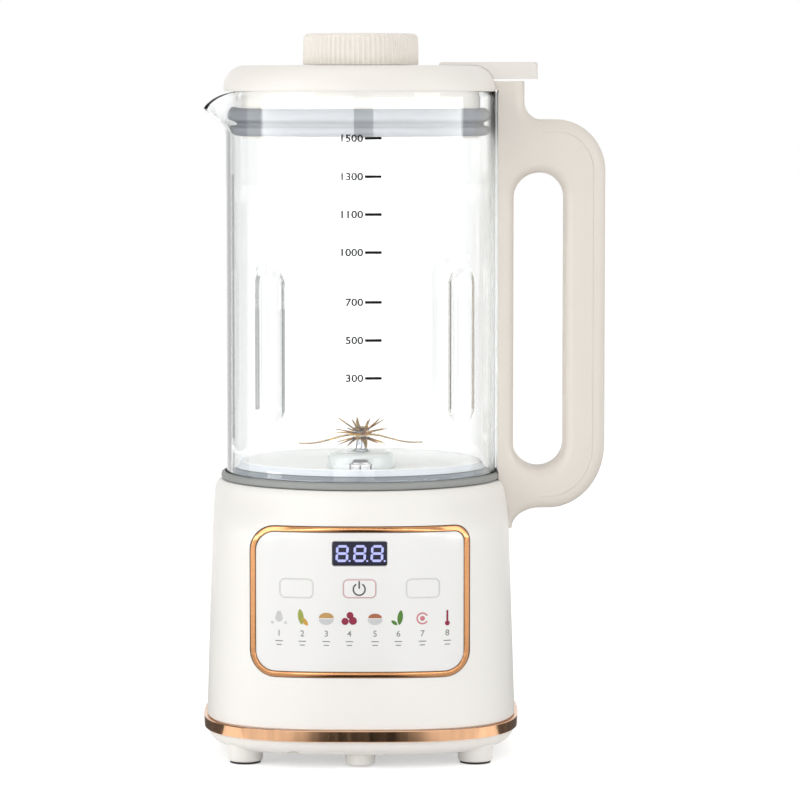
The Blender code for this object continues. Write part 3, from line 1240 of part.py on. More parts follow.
def handle_seam_curve(offset):
    """The same edge moved inwards, where the grip cover meets the handle's body."""
    reach = HANDLE_REACH - offset
    rise = HANDLE_SHOULDER_Z - offset
    upper_radii = (reach - HANDLE_UPPER_X, rise - HANDLE_UPPER_Z)
    lower_radii = (reach - HANDLE_LOWER_X, HANDLE_LOWER_RISE - offset)
    upper = arc((HANDLE_UPPER_X, HANDLE_UPPER_Z), upper_radii, 90, 0, GRIP_STEPS)
    lower = arc((HANDLE_LOWER_X, HANDLE_LOWER_Z), lower_radii, 0, -90, GRIP_STEPS)
    return [(HANDLE_SHOULDER_X, rise)] + upper + lower


def handle_body(carrier, finish):
    tail_low = (TAIL_ROOT_X, TAIL_TIP_Z)
    tail_radii = (TAIL_ROOT_X - TAIL_TIP_X, HANDLE_LOWER_Z - HANDLE_LOWER_RISE - TAIL_TIP_Z)
    neck_radii = (HANDLE_SHOULDER_X - HANDLE_NECK_X, HANDLE_NECK_Z - HANDLE_SHOULDER_Z)
    neck = arc((HANDLE_SHOULDER_X, HANDLE_NECK_Z), neck_radii, 180, 270)
    seam = handle_seam_curve(GRIP_COVER_THICKNESS + SEAT_GAP)
    lug_x = COLLAR_RADIUS + SEAT_GAP
    head_low = GLASS_RIM_Z + SEAT_GAP
    outline = [(HANDLE_HEAD_X, HANDLE_TOP_Z), (HANDLE_NECK_X, HANDLE_TOP_Z)]
    outline += neck
    outline += seam
    outline += [(HANDLE_LOWER_X, HANDLE_LOWER_Z - HANDLE_LOWER_RISE)]
    outline += arc(tail_low, tail_radii, 90, 180)
    outline += [(TAIL_INNER_X, TAIL_TIP_Z), (lug_x, LUG_LOW_Z), (lug_x, LUG_HIGH_Z),
                (HANDLE_FACE_X, LUG_HIGH_Z), (HANDLE_FACE_X, head_low), (HANDLE_HEAD_X, head_low)]
    handle = place("handle_body", prism(outline, -HANDLE_HALF, HANDLE_HALF, "Y"), carrier, finish)
    cut(handle, prism(finger_slot(), -HANDLE_HALF - OVERRUN, HANDLE_HALF + OVERRUN, "Y"))
    gasket_groove = tube(COLLAR_RADIUS, HOUSING_RIM_RADIUS + SEAT_GAP, GASKET_LOW_Z - SEAT_GAP,
                         GASKET_TOP_Z + SEAT_GAP)
    cut(handle, turned(gasket_groove))
    round_edges(handle, HANDLE_EDGE)
    hole = circle((MAGNET_X, 0), REED_RADIUS + SEAT_GAP, TINY_STEPS)
    cut(handle, prism(hole, HANDLE_TOP_Z - REED_LENGTH - SEAT_GAP, HANDLE_TOP_Z + OVERRUN, "Z"))
    return handle


def finger_slot():
    radius = (SLOT_OUTER_X - SLOT_INNER_X) / 2
    middle_x = SLOT_INNER_X + radius
    upper = arc((middle_x, SLOT_HIGH_Z - radius), (radius, radius), 0, 180, GRIP_STEPS)
    lower = arc((middle_x, SLOT_LOW_Z + radius), (radius, radius), 180, 360, GRIP_STEPS)
    return upper + lower


def round_edges(item, width):
    step = item.modifiers.new("rounded_edges", "BEVEL")
    step.width = width
    step.segments = 1
    step.limit_method = "ANGLE"
    step.angle_limit = ROUNDED_EDGE_ANGLE


def handle_grip_cover(carrier, finish):
    outer = handle_outer_curve()
    inner = handle_seam_curve(GRIP_COVER_THICKNESS)
    outline = outer + list(reversed(inner))
    bm = prism(outline, -HANDLE_HALF, HANDLE_HALF, "Y")
    grip_edges = [edge for edge in bm.edges if is_outer_edge(edge, outer)]
    bmesh.ops.bevel(bm, geom=grip_edges, offset=HANDLE_EDGE, segments=2, profile=0.5, affect="EDGES",
                    material=-1)
    return place("handle_grip_cover", bm, carrier, finish)


def is_outer_edge(edge, outer):
    """True for an edge that runs along the outer curve on one side face."""
    first, second = edge.verts
    if abs(first.co.y - second.co.y) > MERGE_DISTANCE:
        return False
    return all(on_curve(vert, outer) for vert in edge.verts)


def on_curve(vert, outer):
    return any(math.dist((vert.co.x, vert.co.z), point) < MERGE_DISTANCE for point in outer)


def reed_switch(carrier, finish):
    high = HANDLE_TOP_Z - SEAT_GAP
    low = high - REED_LENGTH + SEAT_GAP
    profile = [(0, low), (REED_RADIUS, low), (REED_RADIUS, high), (0, high)]
    return place("reed_switch", turned(profile, TINY_STEPS, MAGNET_X), carrier, finish)


# Blade pieces

def blade_shaft(carrier, finish):
    low = SOCKET_TOP_Z - SOCKET_WEB
    high = BLADE_HUB_Z + (BLADE_THICKNESS + SEAT_GAP) * BLADES_ON_SHAFT + BLADE_NUT_HEIGHT / 2
    profile = [(0, low), (BLADE_SHAFT_RADIUS, low), (BLADE_SHAFT_RADIUS, high), (0, high)]
    return place("blade_shaft", turned(profile, SMALL_STEPS), carrier, finish)


def star_blade(name, z, tip_z, tip_radius, turn, carrier, finish):
    """A washer whose rim is drawn out into bent points."""
    sides = STAR_POINTS * 2
    half = math.pi / sides
    outer = []
    inner = []
    bore = BLADE_SHAFT_RADIUS + SEAT_GAP
    for i in range(sides):
        angle = turn + math.tau * i / sides + half
        outer.append((BLADE_HUB_RADIUS * math.cos(angle), BLADE_HUB_RADIUS * math.sin(angle)))
        inner.append((bore * math.cos(angle), bore * math.sin(angle)))
    bm = hollow_prism(outer, inner, z, z + BLADE_THICKNESS)
    rim = [face for face in bm.faces if is_rim_face(face, sides, turn)]
    tips = bmesh.ops.extrude_discrete_faces(bm, faces=rim)["faces"]
    for face in tips:
        centre = face.calc_center_median()
        reach = tip_radius / math.hypot(centre.x, centre.y)
        for vert in face.verts:
            vert.co.x = centre.x * reach + (vert.co.x - centre.x) * STAR_TIP_SHARE
            vert.co.y = centre.y * reach + (vert.co.y - centre.y) * STAR_TIP_SHARE
            vert.co.z = tip_z + (vert.co.z - centre.z) * STAR_TIP_SHARE
    return place(name, bm, carrier, finish)



def is_rim_face(face, sides, turn):
    """True for every second outer side of the washer."""
    centre = face.calc_center_median()
    radius = math.hypot(centre.x, centre.y)
    inside = BLADE_HUB_RADIUS * math.cos(math.pi / sides)
    if abs(radius - inside) > RIM_TOLERANCE:
        return False
    step = (math.atan2(centre.y, centre.x) - turn) / (math.tau / sides)
    return round(step) % 2 == 0


def long_blade(carrier, finish):
    """One bar with a wide middle, both arms drooping to flat ends."""
    low = BLADE_HUB_Z + BLADE_THICKNESS + SEAT_GAP
    stations = [(-LONG_TIP_RADIUS, LONG_TIP_Z, LONG_TIP_WIDTH),
                (-LONG_TIP_RADIUS + LONG_FLAT_LENGTH, LONG_TIP_Z, LONG_TIP_WIDTH),
                (-BLADE_HUB_RADIUS - BLADE_THICKNESS, low, LONG_ROOT_WIDTH / 2),
                (-BLADE_HUB_RADIUS / 2, low, LONG_ROOT_WIDTH)]
    stations += [(-x, z, width) for x, z, width in reversed(stations)]
    rings = []
    for x, z, width in stations:
        half = width / 2
        rings.append([(x, -half, z), (x, half, z), (x, half, z + BLADE_THICKNESS),
                      (x, -half, z + BLADE_THICKNESS)])
    blade = place("long_blade", skinned(rings, False), carrier, finish)
    bore = circle((0, 0), BLADE_SHAFT_RADIUS + SEAT_GAP, TINY_STEPS)
    cut(blade, prism(bore, low - OVERRUN, low + OVERRUN, "Z"))
    return blade


def blade_nut(carrier, finish):
    low = BLADE_HUB_Z + (BLADE_THICKNESS + SEAT_GAP) * BLADES_ON_SHAFT
    high = low + BLADE_NUT_HEIGHT
    bore = BLADE_SHAFT_RADIUS + SEAT_GAP
    profile = [(0, high), (BLADE_NUT_TOP_RADIUS, high), (BLADE_NUT_RADIUS, high - BLADE_NUT_CROWN),
               (BLADE_NUT_RADIUS, low), (bore, low), (bore, high - BLADE_NUT_CROWN),
               (0, high - BLADE_NUT_CROWN)]
    return place("blade_nut", turned(profile, TINY_STEPS), carrier, finish)


def drive_socket(carrier, finish):
    """Toothed cup under the jug that drops over the motor's spline."""
    steps = SPLINE_TEETH * POINTS_PER_TOOTH
    outer = star_outline(SOCKET_RADIUS, SOCKET_RADIUS, SPLINE_TEETH)
    inner = star_outline(SPLINE_RADIUS + RUNNING_GAP, SPLINE_ROOT_RADIUS + RUNNING_GAP, SPLINE_TEETH)
    bore = circle((0, 0), BLADE_SHAFT_RADIUS + SEAT_GAP, steps)
    web_low = SOCKET_TOP_Z - SOCKET_WEB
    rings = [[(x, y, SOCKET_LOW_Z) for x, y in inner], [(x, y, SOCKET_LOW_Z) for x, y in outer],
             [(x, y, SOCKET_TOP_Z) for x, y in outer], [(x, y, SOCKET_TOP_Z) for x, y in bore],
             [(x, y, web_low) for x, y in bore], [(x, y, web_low) for x, y in inner]]
    return place("drive_socket", skinned(rings, True), carrier, finish)


# Lid pieces

def lid_shell(carrier, finish):
    centre = (LID_RADIUS - LID_EDGE_RADIUS, LID_HIGH_Z - LID_EDGE_RADIUS)
    inner_radius = LID_EDGE_RADIUS - LID_WALL
    outside = arc(centre, (LID_EDGE_RADIUS, LID_EDGE_RADIUS), 90, 0)
    inside = arc(centre, (inner_radius, inner_radius), 0, 90, ARC_STEPS // 2)
    profile = [(FEED_RADIUS, LID_HIGH_Z)] + outside
    profile += [(LID_RADIUS, LID_LOW_Z), (LID_RADIUS - LID_WALL, LID_LOW_Z)]
    profile += inside + [(FEED_RADIUS, LID_HIGH_Z - LID_WALL)]
    shell = place("lid_shell", turned(profile), carrier, finish)
    cut(shell, lid_flat(LID_LOW_Z - OVERRUN, LID_HIGH_Z + OVERRUN))
    return shell


def lid_flat(low, high):
    """The lid is cut straight where the handle's head stands."""
    half = HANDLE_HALF + NOTCH_SIDE_GAP
    return box(LID_FLAT_X, LID_RADIUS + OVERRUN, -half, half, low, high)


def lid_plug(carrier, finish):
    """Trough in the lid: flange on the glass, skirt for the seal, tube for the feed."""
    flange_low = GLASS_RIM_Z + SEAT_GAP
    flange_high = flange_low + PLUG_FLANGE_THICKNESS
    tube_top = LID_HIGH_Z - LID_WALL - SEAT_GAP
    tube_outer = FEED_RADIUS + FEED_WALL
    skirt_inner = PLUG_RADIUS - PLUG_WALL
    floor_top = PLUG_LOW_Z + PLUG_WALL
    profile = [(PLUG_FLANGE_RADIUS, flange_high), (PLUG_FLANGE_RADIUS, flange_low),
               (PLUG_RADIUS, flange_low), (PLUG_RADIUS, PLUG_LOW_Z), (FEED_RADIUS, PLUG_LOW_Z),
               (FEED_RADIUS, tube_top), (tube_outer, tube_top), (tube_outer, floor_top),
               (skirt_inner, floor_top), (skirt_inner, flange_high)]
    return place("lid_plug", turned(profile), carrier, finish)


def lid_seal(carrier, finish):
    """Soft ring with two lips against the glass."""
    bore = PLUG_RADIUS + SEAT_GAP
    top = PLUG_LOW_Z + SEAL_HEIGHT
    shoulder = SEAL_LIP_RADIUS - (SEAL_LIP_RADIUS - bore) / 2
    tip = top - SEAL_LIP_DROP
    groove_top = top - SEAL_LIP_HEIGHT
    groove_low = groove_top - SEAL_GROOVE_HEIGHT
    low = PLUG_LOW_Z + SEAL_LIP_EDGE
    profile = [(bore, top), (shoulder, top), (SEAL_LIP_RADIUS, tip), (SEAL_LIP_RADIUS, tip - SEAL_LIP_EDGE),
               (SEAL_GROOVE_RADIUS, groove_top), (SEAL_GROOVE_RADIUS, groove_low),
               (SEAL_LIP_RADIUS, groove_low), (SEAL_LIP_RADIUS, PLUG_LOW_Z + SEAL_LIP_DROP),
               (shoulder, low), (bore, low)]
    return place("lid_seal", turned(profile), carrier, finish)



def lid_envelope():
    """The lid's outside with a seat gap round it, ending at the lid's flat."""
    centre = (LID_RADIUS - LID_EDGE_RADIUS, LID_HIGH_Z - LID_EDGE_RADIUS)
    reach = LID_EDGE_RADIUS + SEAT_GAP
    low = LID_LOW_Z - OVERRUN
    profile = [(0, LID_HIGH_Z + SEAT_GAP)] + arc(centre, (reach, reach), 90, 0, FINE_ARC_STEPS)
    profile += [(LID_RADIUS + SEAT_GAP, low), (0, low)]
    bm = turned(profile)
    bmesh.ops.remove_doubles(bm, verts=bm.verts, dist=MERGE_DISTANCE)
    bmesh.ops.bisect_plane(bm, geom=bm.verts[:] + bm.edges[:] + bm.faces[:], dist=MERGE_DISTANCE,
                           plane_co=(LID_FLAT_X, 0, 0), plane_no=(1, 0, 0), clear_outer=True)
    bmesh.ops.holes_fill(bm, edges=[edge for edge in bm.edges if edge.is_boundary], sides=0)
    return bm


def lid_tongue(carrier, finish):
    """Tongue that lies on the lid and reaches out over the handle's head."""
    tongue = place("lid_tongue", box(TONGUE_START_X, TONGUE_END_X, -HANDLE_HALF, HANDLE_HALF, TONGUE_LOW_Z,
                                     TONGUE_TOP_Z), carrier, finish)
    cut(tongue, lid_envelope())
    pocket = circle((MAGNET_X, 0), MAGNET_RADIUS + SEAT_GAP, TINY_STEPS)
    cut(tongue, prism(pocket, TONGUE_LOW_Z - OVERRUN, TONGUE_LOW_Z + MAGNET_THICKNESS + SEAT_GAP, "Z"))
    return tongue


def lid_magnet(carrier, finish):
    profile = [(0, TONGUE_LOW_Z), (MAGNET_RADIUS, TONGUE_LOW_Z),
               (MAGNET_RADIUS, TONGUE_LOW_Z + MAGNET_THICKNESS), (0, TONGUE_LOW_Z + MAGNET_THICKNESS)]
    return place("lid_magnet", turned(profile, TINY_STEPS, MAGNET_X), carrier, finish)


# Feed cap pieces

def feed_cap(carrier, finish):
    """Ribbed cap: a grip with upright ribs, rounded into a flat top, hollow below."""
    columns = CAP_RIBS * 2
    rib_top = CAP_TOP_Z - CAP_EDGE
    inner = CAP_RADIUS - CAP_RIB_DEPTH - CAP_WALL
    roof = CAP_TOP_Z - CAP_WALL
    rings = [cap_ring(columns, CAP_RADIUS, CAP_RIB_DEPTH, CAP_LOW_Z),
             cap_ring(columns, CAP_RADIUS, CAP_RIB_DEPTH, rib_top)]
    rings.append(cap_ring(columns, CAP_RADIUS - CAP_EDGE, 0, CAP_TOP_Z))
    bm = skinned(rings, False)
    cap = place("feed_cap", bm, carrier, finish)
    hollow = circle((0, 0), inner, SMALL_STEPS)
    cut(cap, prism(hollow, CAP_LOW_Z - OVERRUN, roof, "Z"))
    return cap


def cap_ring(columns, radius, depth, z):
    ring = []
    for i in range(columns):
        angle = math.tau * i / columns
        reach = radius - depth * (i % 2)
        ring.append((reach * math.cos(angle), reach * math.sin(angle), z))
    return ring


def cap_plug(carrier, finish):
    """Stopper that hangs under the cap's roof and fills the feed tube."""
    roof = CAP_TOP_Z - CAP_WALL - SEAT_GAP
    groove_low = CAP_SEAL_Z - SEAT_GAP
    groove_high = CAP_SEAL_Z + CAP_SEAL_HEIGHT + SEAT_GAP
    groove_radius = CAP_PLUG_RADIUS - CAP_SEAL_DEPTH
    inner = groove_radius - CAP_PLUG_WALL
    floor_top = CAP_PLUG_LOW_Z + CAP_PLUG_WALL
    profile = [(0, CAP_PLUG_LOW_Z), (CAP_PLUG_RADIUS, CAP_PLUG_LOW_Z), (CAP_PLUG_RADIUS, groove_low),
               (groove_radius, groove_low), (groove_radius, groove_high), (CAP_PLUG_RADIUS, groove_high),
               (CAP_PLUG_RADIUS, roof), (inner, roof), (inner, floor_top), (0, floor_top)]
    return place("cap_plug", turned(profile, SMALL_STEPS), carrier, finish)


def cap_seal(carrier, finish):
    bore = CAP_PLUG_RADIUS - CAP_SEAL_DEPTH + SEAT_GAP
    outer = FEED_RADIUS - SEAT_GAP
    ring = tube(bore, outer, CAP_SEAL_Z, CAP_SEAL_Z + CAP_SEAL_HEIGHT)
    return place("cap_seal", turned(ring, SMALL_STEPS), carrier, finish)


# Whole object

def build():
    clear_scene()
    cream = material("cream_plastic", (0.86, 0.84, 0.79), 0.45)
    handle_cream = material("handle_plastic", (0.82, 0.78, 0.72), 0.5)
    white = material("white_panel", (0.88, 0.88, 0.86), 0.3)
    rose = material("rose_gold", (0.72, 0.43, 0.28), 0.25, 1.0)
    glass = material("clear_glass", (0.92, 0.95, 0.95), 0.05)
    silicone = material("grey_silicone", (0.42, 0.44, 0.45), 0.6)
    rubber = material("black_rubber", (0.03, 0.03, 0.03), 0.8)
    steel = material("steel", (0.62, 0.62, 0.62), 0.3, 1.0)
    gold = material("golden_blade", (0.78, 0.55, 0.2), 0.25, 1.0)
    milky = material("milky_plastic", (0.78, 0.8, 0.8), 0.35)
    aluminium = material("aluminium", (0.7, 0.7, 0.72), 0.4, 1.0)
    core = material("motor_core", (0.3, 0.3, 0.32), 0.5, 1.0)
    black = material("black_plastic", (0.04, 0.04, 0.045), 0.5)
    board = material("circuit_board", (0.05, 0.25, 0.12), 0.5)
    window = material("display_window", (0.03, 0.03, 0.08), 0.1)

    base = body("base", 0, 0, 0)
    base_housing(base, cream)
    band_ring(base, rose)
    bottom_cover(base, cream)
    foot_pads(base, rubber)
    panel_frame(base, rose)
    control_panel(base, white)
    display(base, window)
    control_board(base, board)
    for name, x in (("menu", -KEY_SPACING), ("power", 0), ("function", KEY_SPACING)):
        carrier = body(name + "_key_body", x, -front_depth(x, KEY_CENTRE_Z), KEY_CENTRE_Z)
        key(name + "_key", x, carrier, white)
    seat_well(base, cream)
    shaft_seal(base, rubber)
    coupler_socket(base, black)
    power_inlet(base, black)
    power_board(base, board)
    motor_fixed(base, steel, core, rubber)
    brushes(base, black)

    rotor = body("motor_rotor", 0, 0, SHAFT_LOW_Z)
    motor_rotor(rotor, steel, core, black)

    jug = body("jug", 0, 0, GLASS_LOW_Z)
    jug_glass(jug, glass)
    jug_gasket(jug, silicone)
    jug_collar(jug, cream)
    jug_base_plate(jug, black)
    jug_floor(jug, white)
    heater_disc(jug, aluminium)
    blade_seat(jug, milky)
    blade_bush(jug, steel)
    clamp_nut(jug, steel)
    temperature_probe(jug, steel)
    coupler_plug(jug, black)
    handle_body(jug, handle_cream)
    handle_grip_cover(jug, handle_cream)
    reed_switch(jug, black)

    blade = body("blade", 0, 0, BLADE_HUB_Z)
    blade_shaft(blade, steel)
    long_blade(blade, gold)
    pitch = BLADE_THICKNESS + SEAT_GAP
    turn = math.pi / STAR_POINTS
    star_blade("star_blade_down", BLADE_HUB_Z, DOWN_TIP_Z, STAR_TIP_RADIUS, turn, blade, gold)
    star_blade("star_blade_flat", BLADE_HUB_Z + pitch * 2, FLAT_TIP_Z, STAR_TIP_RADIUS + BLADE_THICKNESS,
               turn / 2, blade, gold)
    star_blade("star_blade_up", BLADE_HUB_Z + pitch * 3, UP_TIP_Z, STAR_TIP_RADIUS, 0, blade, gold)
    blade_nut(blade, gold)
    drive_socket(blade, black)

    lid = body("lid", 0, 0, LID_LOW_Z)
    lid_shell(lid, cream)
    lid_plug(lid, cream)
    lid_seal(lid, silicone)
    lid_tongue(lid, cream)
    lid_magnet(lid, steel)

    cap = body("cap", 0, 0, CAP_LOW_Z)
    feed_cap(cap, cream)
    cap_plug(cap, cream)
    cap_seal(cap, silicone)


build()
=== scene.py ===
# Looks of the soy milk maker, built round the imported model.
# Shapes are worked out in millimetres from the jug's axis, then brought to the model's metres.
import math

import bmesh
import bpy
from mathutils import Matrix, Vector


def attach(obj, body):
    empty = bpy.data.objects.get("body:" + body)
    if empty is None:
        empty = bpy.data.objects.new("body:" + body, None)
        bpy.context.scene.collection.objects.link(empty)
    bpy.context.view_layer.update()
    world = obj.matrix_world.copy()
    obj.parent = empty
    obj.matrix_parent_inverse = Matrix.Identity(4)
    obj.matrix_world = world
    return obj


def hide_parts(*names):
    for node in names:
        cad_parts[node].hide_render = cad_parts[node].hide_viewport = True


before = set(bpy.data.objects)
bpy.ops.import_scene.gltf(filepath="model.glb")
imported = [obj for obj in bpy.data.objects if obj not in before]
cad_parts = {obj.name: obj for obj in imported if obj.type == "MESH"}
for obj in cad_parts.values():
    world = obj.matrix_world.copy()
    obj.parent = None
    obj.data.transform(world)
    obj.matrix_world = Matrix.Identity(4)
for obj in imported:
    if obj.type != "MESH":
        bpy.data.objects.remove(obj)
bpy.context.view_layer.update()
jugX = -19.75  # the jug's axis in the model, mm
mm = 0.001
weldGap = 0.0004  # points nearer than this are one, mm
print("frame loaded")


# mesh helpers

def lathe(profile, steps=176, x=0.0, y=0.0):
    bm = bmesh.new()
    verts = [bm.verts.new((x + r, y, z)) for r, z in profile]
    edges = [bm.edges.new(pair) for pair in zip(verts, verts[1:])]
    if profile[0][0] > 0 or profile[-1][0] > 0:
        edges.append(bm.edges.new((verts[-1], verts[0])))
    bmesh.ops.spin(bm, geom=verts + edges, cent=(x, y, 0), axis=(0, 0, 1), angle=math.tau,
                   steps=steps, use_merge=True, use_duplicate=False)
    return bm


def loft(levels, columns, closed=True):
    # each level is a function of the azimuth that gives a point; the loop grows by extruding its edges
    bm = bmesh.new()
    bmesh.ops.create_circle(bm, cap_ends=False, segments=columns, radius=1)
    firstLoop = loop = bm.edges[:]
    ring = bm.verts[:]
    for count, level in enumerate(levels):
        if count:
            grown = bmesh.ops.extrude_edge_only(bm, edges=loop)["geom"]
            ring = [part for part in grown if isinstance(part, bmesh.types.BMVert)]
            loop = [part for part in grown if isinstance(part, bmesh.types.BMEdge) and part.is_boundary]
        for vert in ring:
            vert.co = level(math.atan2(vert.co.y, vert.co.x))
    if closed:
        bmesh.ops.bridge_loops(bm, edges=firstLoop + loop)
    else:
        bmesh.ops.edgeloop_fill(bm, edges=firstLoop)
        bmesh.ops.edgeloop_fill(bm, edges=loop)
    return bm


def slab(outline, low, high, along="Y"):
    # an outline pulled through a depth; along Y its points are x and z, along Z they are x and y
    bm = bmesh.new()
    spots = [(u, low, v) if along == "Y" else (u, v, low) for u, v in outline]
    verts = [bm.verts.new(spot) for spot in spots]
    edges = [bm.edges.new(pair) for pair in zip(verts, verts[1:] + verts[:1])]
    bmesh.ops.edgeloop_fill(bm, edges=edges)
    pulled = bmesh.ops.extrude_face_region(bm, geom=bm.faces[:], use_keep_orig=True)["geom"]
    moved = [part for part in pulled if isinstance(part, bmesh.types.BMVert)]
    bmesh.ops.translate(bm, verts=moved, vec=(0, high - low, 0) if along == "Y" else (0, 0, high - low))
    bmesh.ops.recalc_face_normals(bm, faces=bm.faces[:])
    return bm


def block(low, high):
    bm = bmesh.new()
    size = [b - a for a, b in zip(low, high)]
    middle = [(a + b) / 2 for a, b in zip(low, high)]
    bmesh.ops.create_cube(bm, size=1)
    bmesh.ops.scale(bm, vec=size, verts=bm.verts[:])
    bmesh.ops.translate(bm, vec=middle, verts=bm.verts[:])
    return bm


def arcPoints(centre, radii, start, end, steps=10):
    points = []
    for i in range(steps + 1):
        angle = math.radians(start + (end - start) * i / steps)
        points.append((centre[0] + radii[0] * math.cos(angle), centre[1] + radii[1] * math.sin(angle)))
    return points


def disc(x, z, radius, steps=24):
    return arcPoints((x, z), (radius, radius), 0, 360, steps)[:-1]


def roundedBox(centre, halfWidth, halfHeight, radii, steps=8):
    # radii: one for all corners, or one each from the upper right round to the lower right
    corners = radii if isinstance(radii, (list, tuple)) else [radii] * 4
    points = []
    for side, level, radius, start in ((1, 1, corners[0], 0), (-1, 1, corners[1], 90),
                                       (-1, -1, corners[2], 180), (1, -1, corners[3], 270)):
        middle = (centre[0] + side * (halfWidth - radius), centre[1] + level * (halfHeight - radius))
        points += arcPoints(middle, (radius, radius), start, start + 90, steps)
    return points


def split(bm, spot, normal):
    bmesh.ops.bisect_plane(bm, geom=bm.verts[:] + bm.edges[:] + bm.faces[:], dist=weldGap,
                           plane_co=spot, plane_no=normal)


def cleaned(bm):
    bmesh.ops.remove_doubles(bm, verts=bm.verts[:], dist=weldGap)
    bmesh.ops.recalc_face_normals(bm, faces=bm.faces[:])
    return bm


def placeObject(name, bm, look=None):
    mesh = bpy.data.meshes.new(name)
    bm.to_mesh(mesh)
    bm.free()
    if look:
        mesh.materials.append(look)
    item = bpy.data.objects.new(name, mesh)
    bpy.context.scene.collection.objects.link(item)
    return item


def meshResult(item):
    # what an object's modifiers or letters come to, as a bmesh; the object itself goes
    bpy.context.view_layer.update()
    done = item.evaluated_get(bpy.context.evaluated_depsgraph_get())
    result = bmesh.new()
    result.from_mesh(done.to_mesh())
    done.to_mesh_clear()
    bpy.data.objects.remove(item, do_unlink=True)
    return result


def carve(bm, tools, operation="DIFFERENCE"):
    # booleans on throwaway objects
    target = placeObject("working", cleaned(bm))
    helpers = [placeObject("working", cleaned(tool)) for tool in tools]
    for helper in helpers:
        step = target.modifiers.new("carve", "BOOLEAN")
        step.operation = operation
        step.solver = "EXACT"
        step.object = helper
    result = meshResult(target)
    for helper in helpers:
        bpy.data.objects.remove(helper, do_unlink=True)
    return result


def joined(parts):
    whole = bmesh.new()
    for part in parts:
        scrap = bpy.data.meshes.new("scrap")
        part.to_mesh(scrap)
        part.free()
        whole.from_mesh(scrap)
        bpy.data.meshes.remove(scrap)
    return whole


def addPiece(name, bm, look, body, nodes=(), sharp=32, roundBy=0.0):
    cleaned(bm)
    bmesh.ops.translate(bm, vec=(jugX, 0, 0), verts=bm.verts[:])
    bmesh.ops.scale(bm, vec=(mm, mm, mm), verts=bm.verts[:])
    piece = placeObject(name, bm, look)
    piece.data.shade_smooth()
    if roundBy:
        step = piece.modifiers.new("softEdges", "BEVEL")
        step.width = roundBy * mm
        step.segments = 3
        step.limit_method = "ANGLE"
        step.angle_limit = math.radians(sharp)
        step.harden_normals = True
    else:
        piece.data.set_sharp_from_angle(angle=math.radians(sharp))
    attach(piece, body)
    if nodes:
        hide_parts(*nodes)
    return piece


# materials

def startLook(name):
    look = bpy.data.materials.new(name)
    look.use_nodes = True
    nodes = look.node_tree.nodes
    shader = nodes["Principled BSDF"]
    spot = nodes.new("ShaderNodeTexCoord")
    return look, nodes, look.node_tree.links, shader, spot


def fillSockets(node, values):
    for socket, value in values.items():
        node.inputs[socket].default_value = value


def noiseField(nodes, links, spot, scale, detail=2.0, stretch=(1, 1, 1)):
    shift = nodes.new("ShaderNodeMapping")
    fillSockets(shift, {"Scale": stretch})
    field = nodes.new("ShaderNodeTexNoise")
    fillSockets(field, {"Scale": scale, "Detail": detail})
    links.new(spot.outputs["Object"], shift.inputs["Vector"])
    links.new(shift.outputs["Vector"], field.inputs["Vector"])
    return field.outputs["Fac"]


def spread(nodes, links, source, low, high):
    # noise mostly lies between 0.3 and 0.7
    fit = nodes.new("ShaderNodeMapRange")
    fillSockets(fit, {"From Min": 0.3, "From Max": 0.7, "To Min": low, "To Max": high})
    links.new(source, fit.inputs["Value"])
    return fit.outputs["Result"]


def rampColours(nodes, links, source, stops):
    ramp = nodes.new("ShaderNodeValToRGB")
    stopList = ramp.color_ramp.elements
    for count, (position, colour) in enumerate(stops):
        stop = stopList[count] if count < 2 else stopList.new(position)
        stop.position = position
        stop.color = (*colour, 1)
    links.new(source, ramp.inputs["Fac"])
    return ramp.outputs["Color"]


def tintColours(nodes, links, source, colour, tone):
    return rampColours(nodes, links, source, [(0.3, [c * tone for c in colour]), (0.7, colour)])


def addBump(nodes, links, shader, source, strength, depth):
    bump = nodes.new("ShaderNodeBump")
    fillSockets(bump, {"Strength": strength, "Distance": depth * mm})
    links.new(source, bump.inputs["Height"])
    links.new(bump.outputs["Normal"], shader.inputs["Normal"])


def mixShaders(nodes, links, share, first, second):
    mix = nodes.new("ShaderNodeMixShader")
    for source, socket in zip((share, first.outputs[0], second.outputs[0]), mix.inputs):
        links.new(source, socket)
    return mix.outputs[0]


def mouldedLook(name, colour, roughness=0.42, grain=2600, tone=0.97, bump=0.12, coat=0.0):
    # moulded plastic: faint tone drift, sheen that varies a little, and a fine grain
    look, nodes, links, shader, spot = startLook(name)
    drift = noiseField(nodes, links, spot, 16, 3)
    links.new(tintColours(nodes, links, drift, colour, tone), shader.inputs["Base Color"])
    patches = noiseField(nodes, links, spot, 55, 4)
    links.new(spread(nodes, links, patches, roughness - 0.05, roughness + 0.05), shader.inputs["Roughness"])
    addBump(nodes, links, shader, noiseField(nodes, links, spot, grain, 2), bump, 0.05)
    fillSockets(shader, {"IOR": 1.46, "Coat Weight": coat, "Coat Roughness": 0.15})
    return look


def metalLook(name, colour, roughness=0.25, stretch=(1, 1, 40), scale=60, dark=0.82, bump=0.1):
    # metal with a directional finish drawn out along the stretch
    look, nodes, links, shader, spot = startLook(name)
    lines = noiseField(nodes, links, spot, scale, 4, stretch)
    links.new(tintColours(nodes, links, lines, colour, dark), shader.inputs["Base Color"])
    links.new(spread(nodes, links, lines, roughness - 0.05, roughness + 0.08), shader.inputs["Roughness"])
    addBump(nodes, links, shader, lines, bump, 0.02)
    fillSockets(shader, {"Metallic": 1.0})
    return look


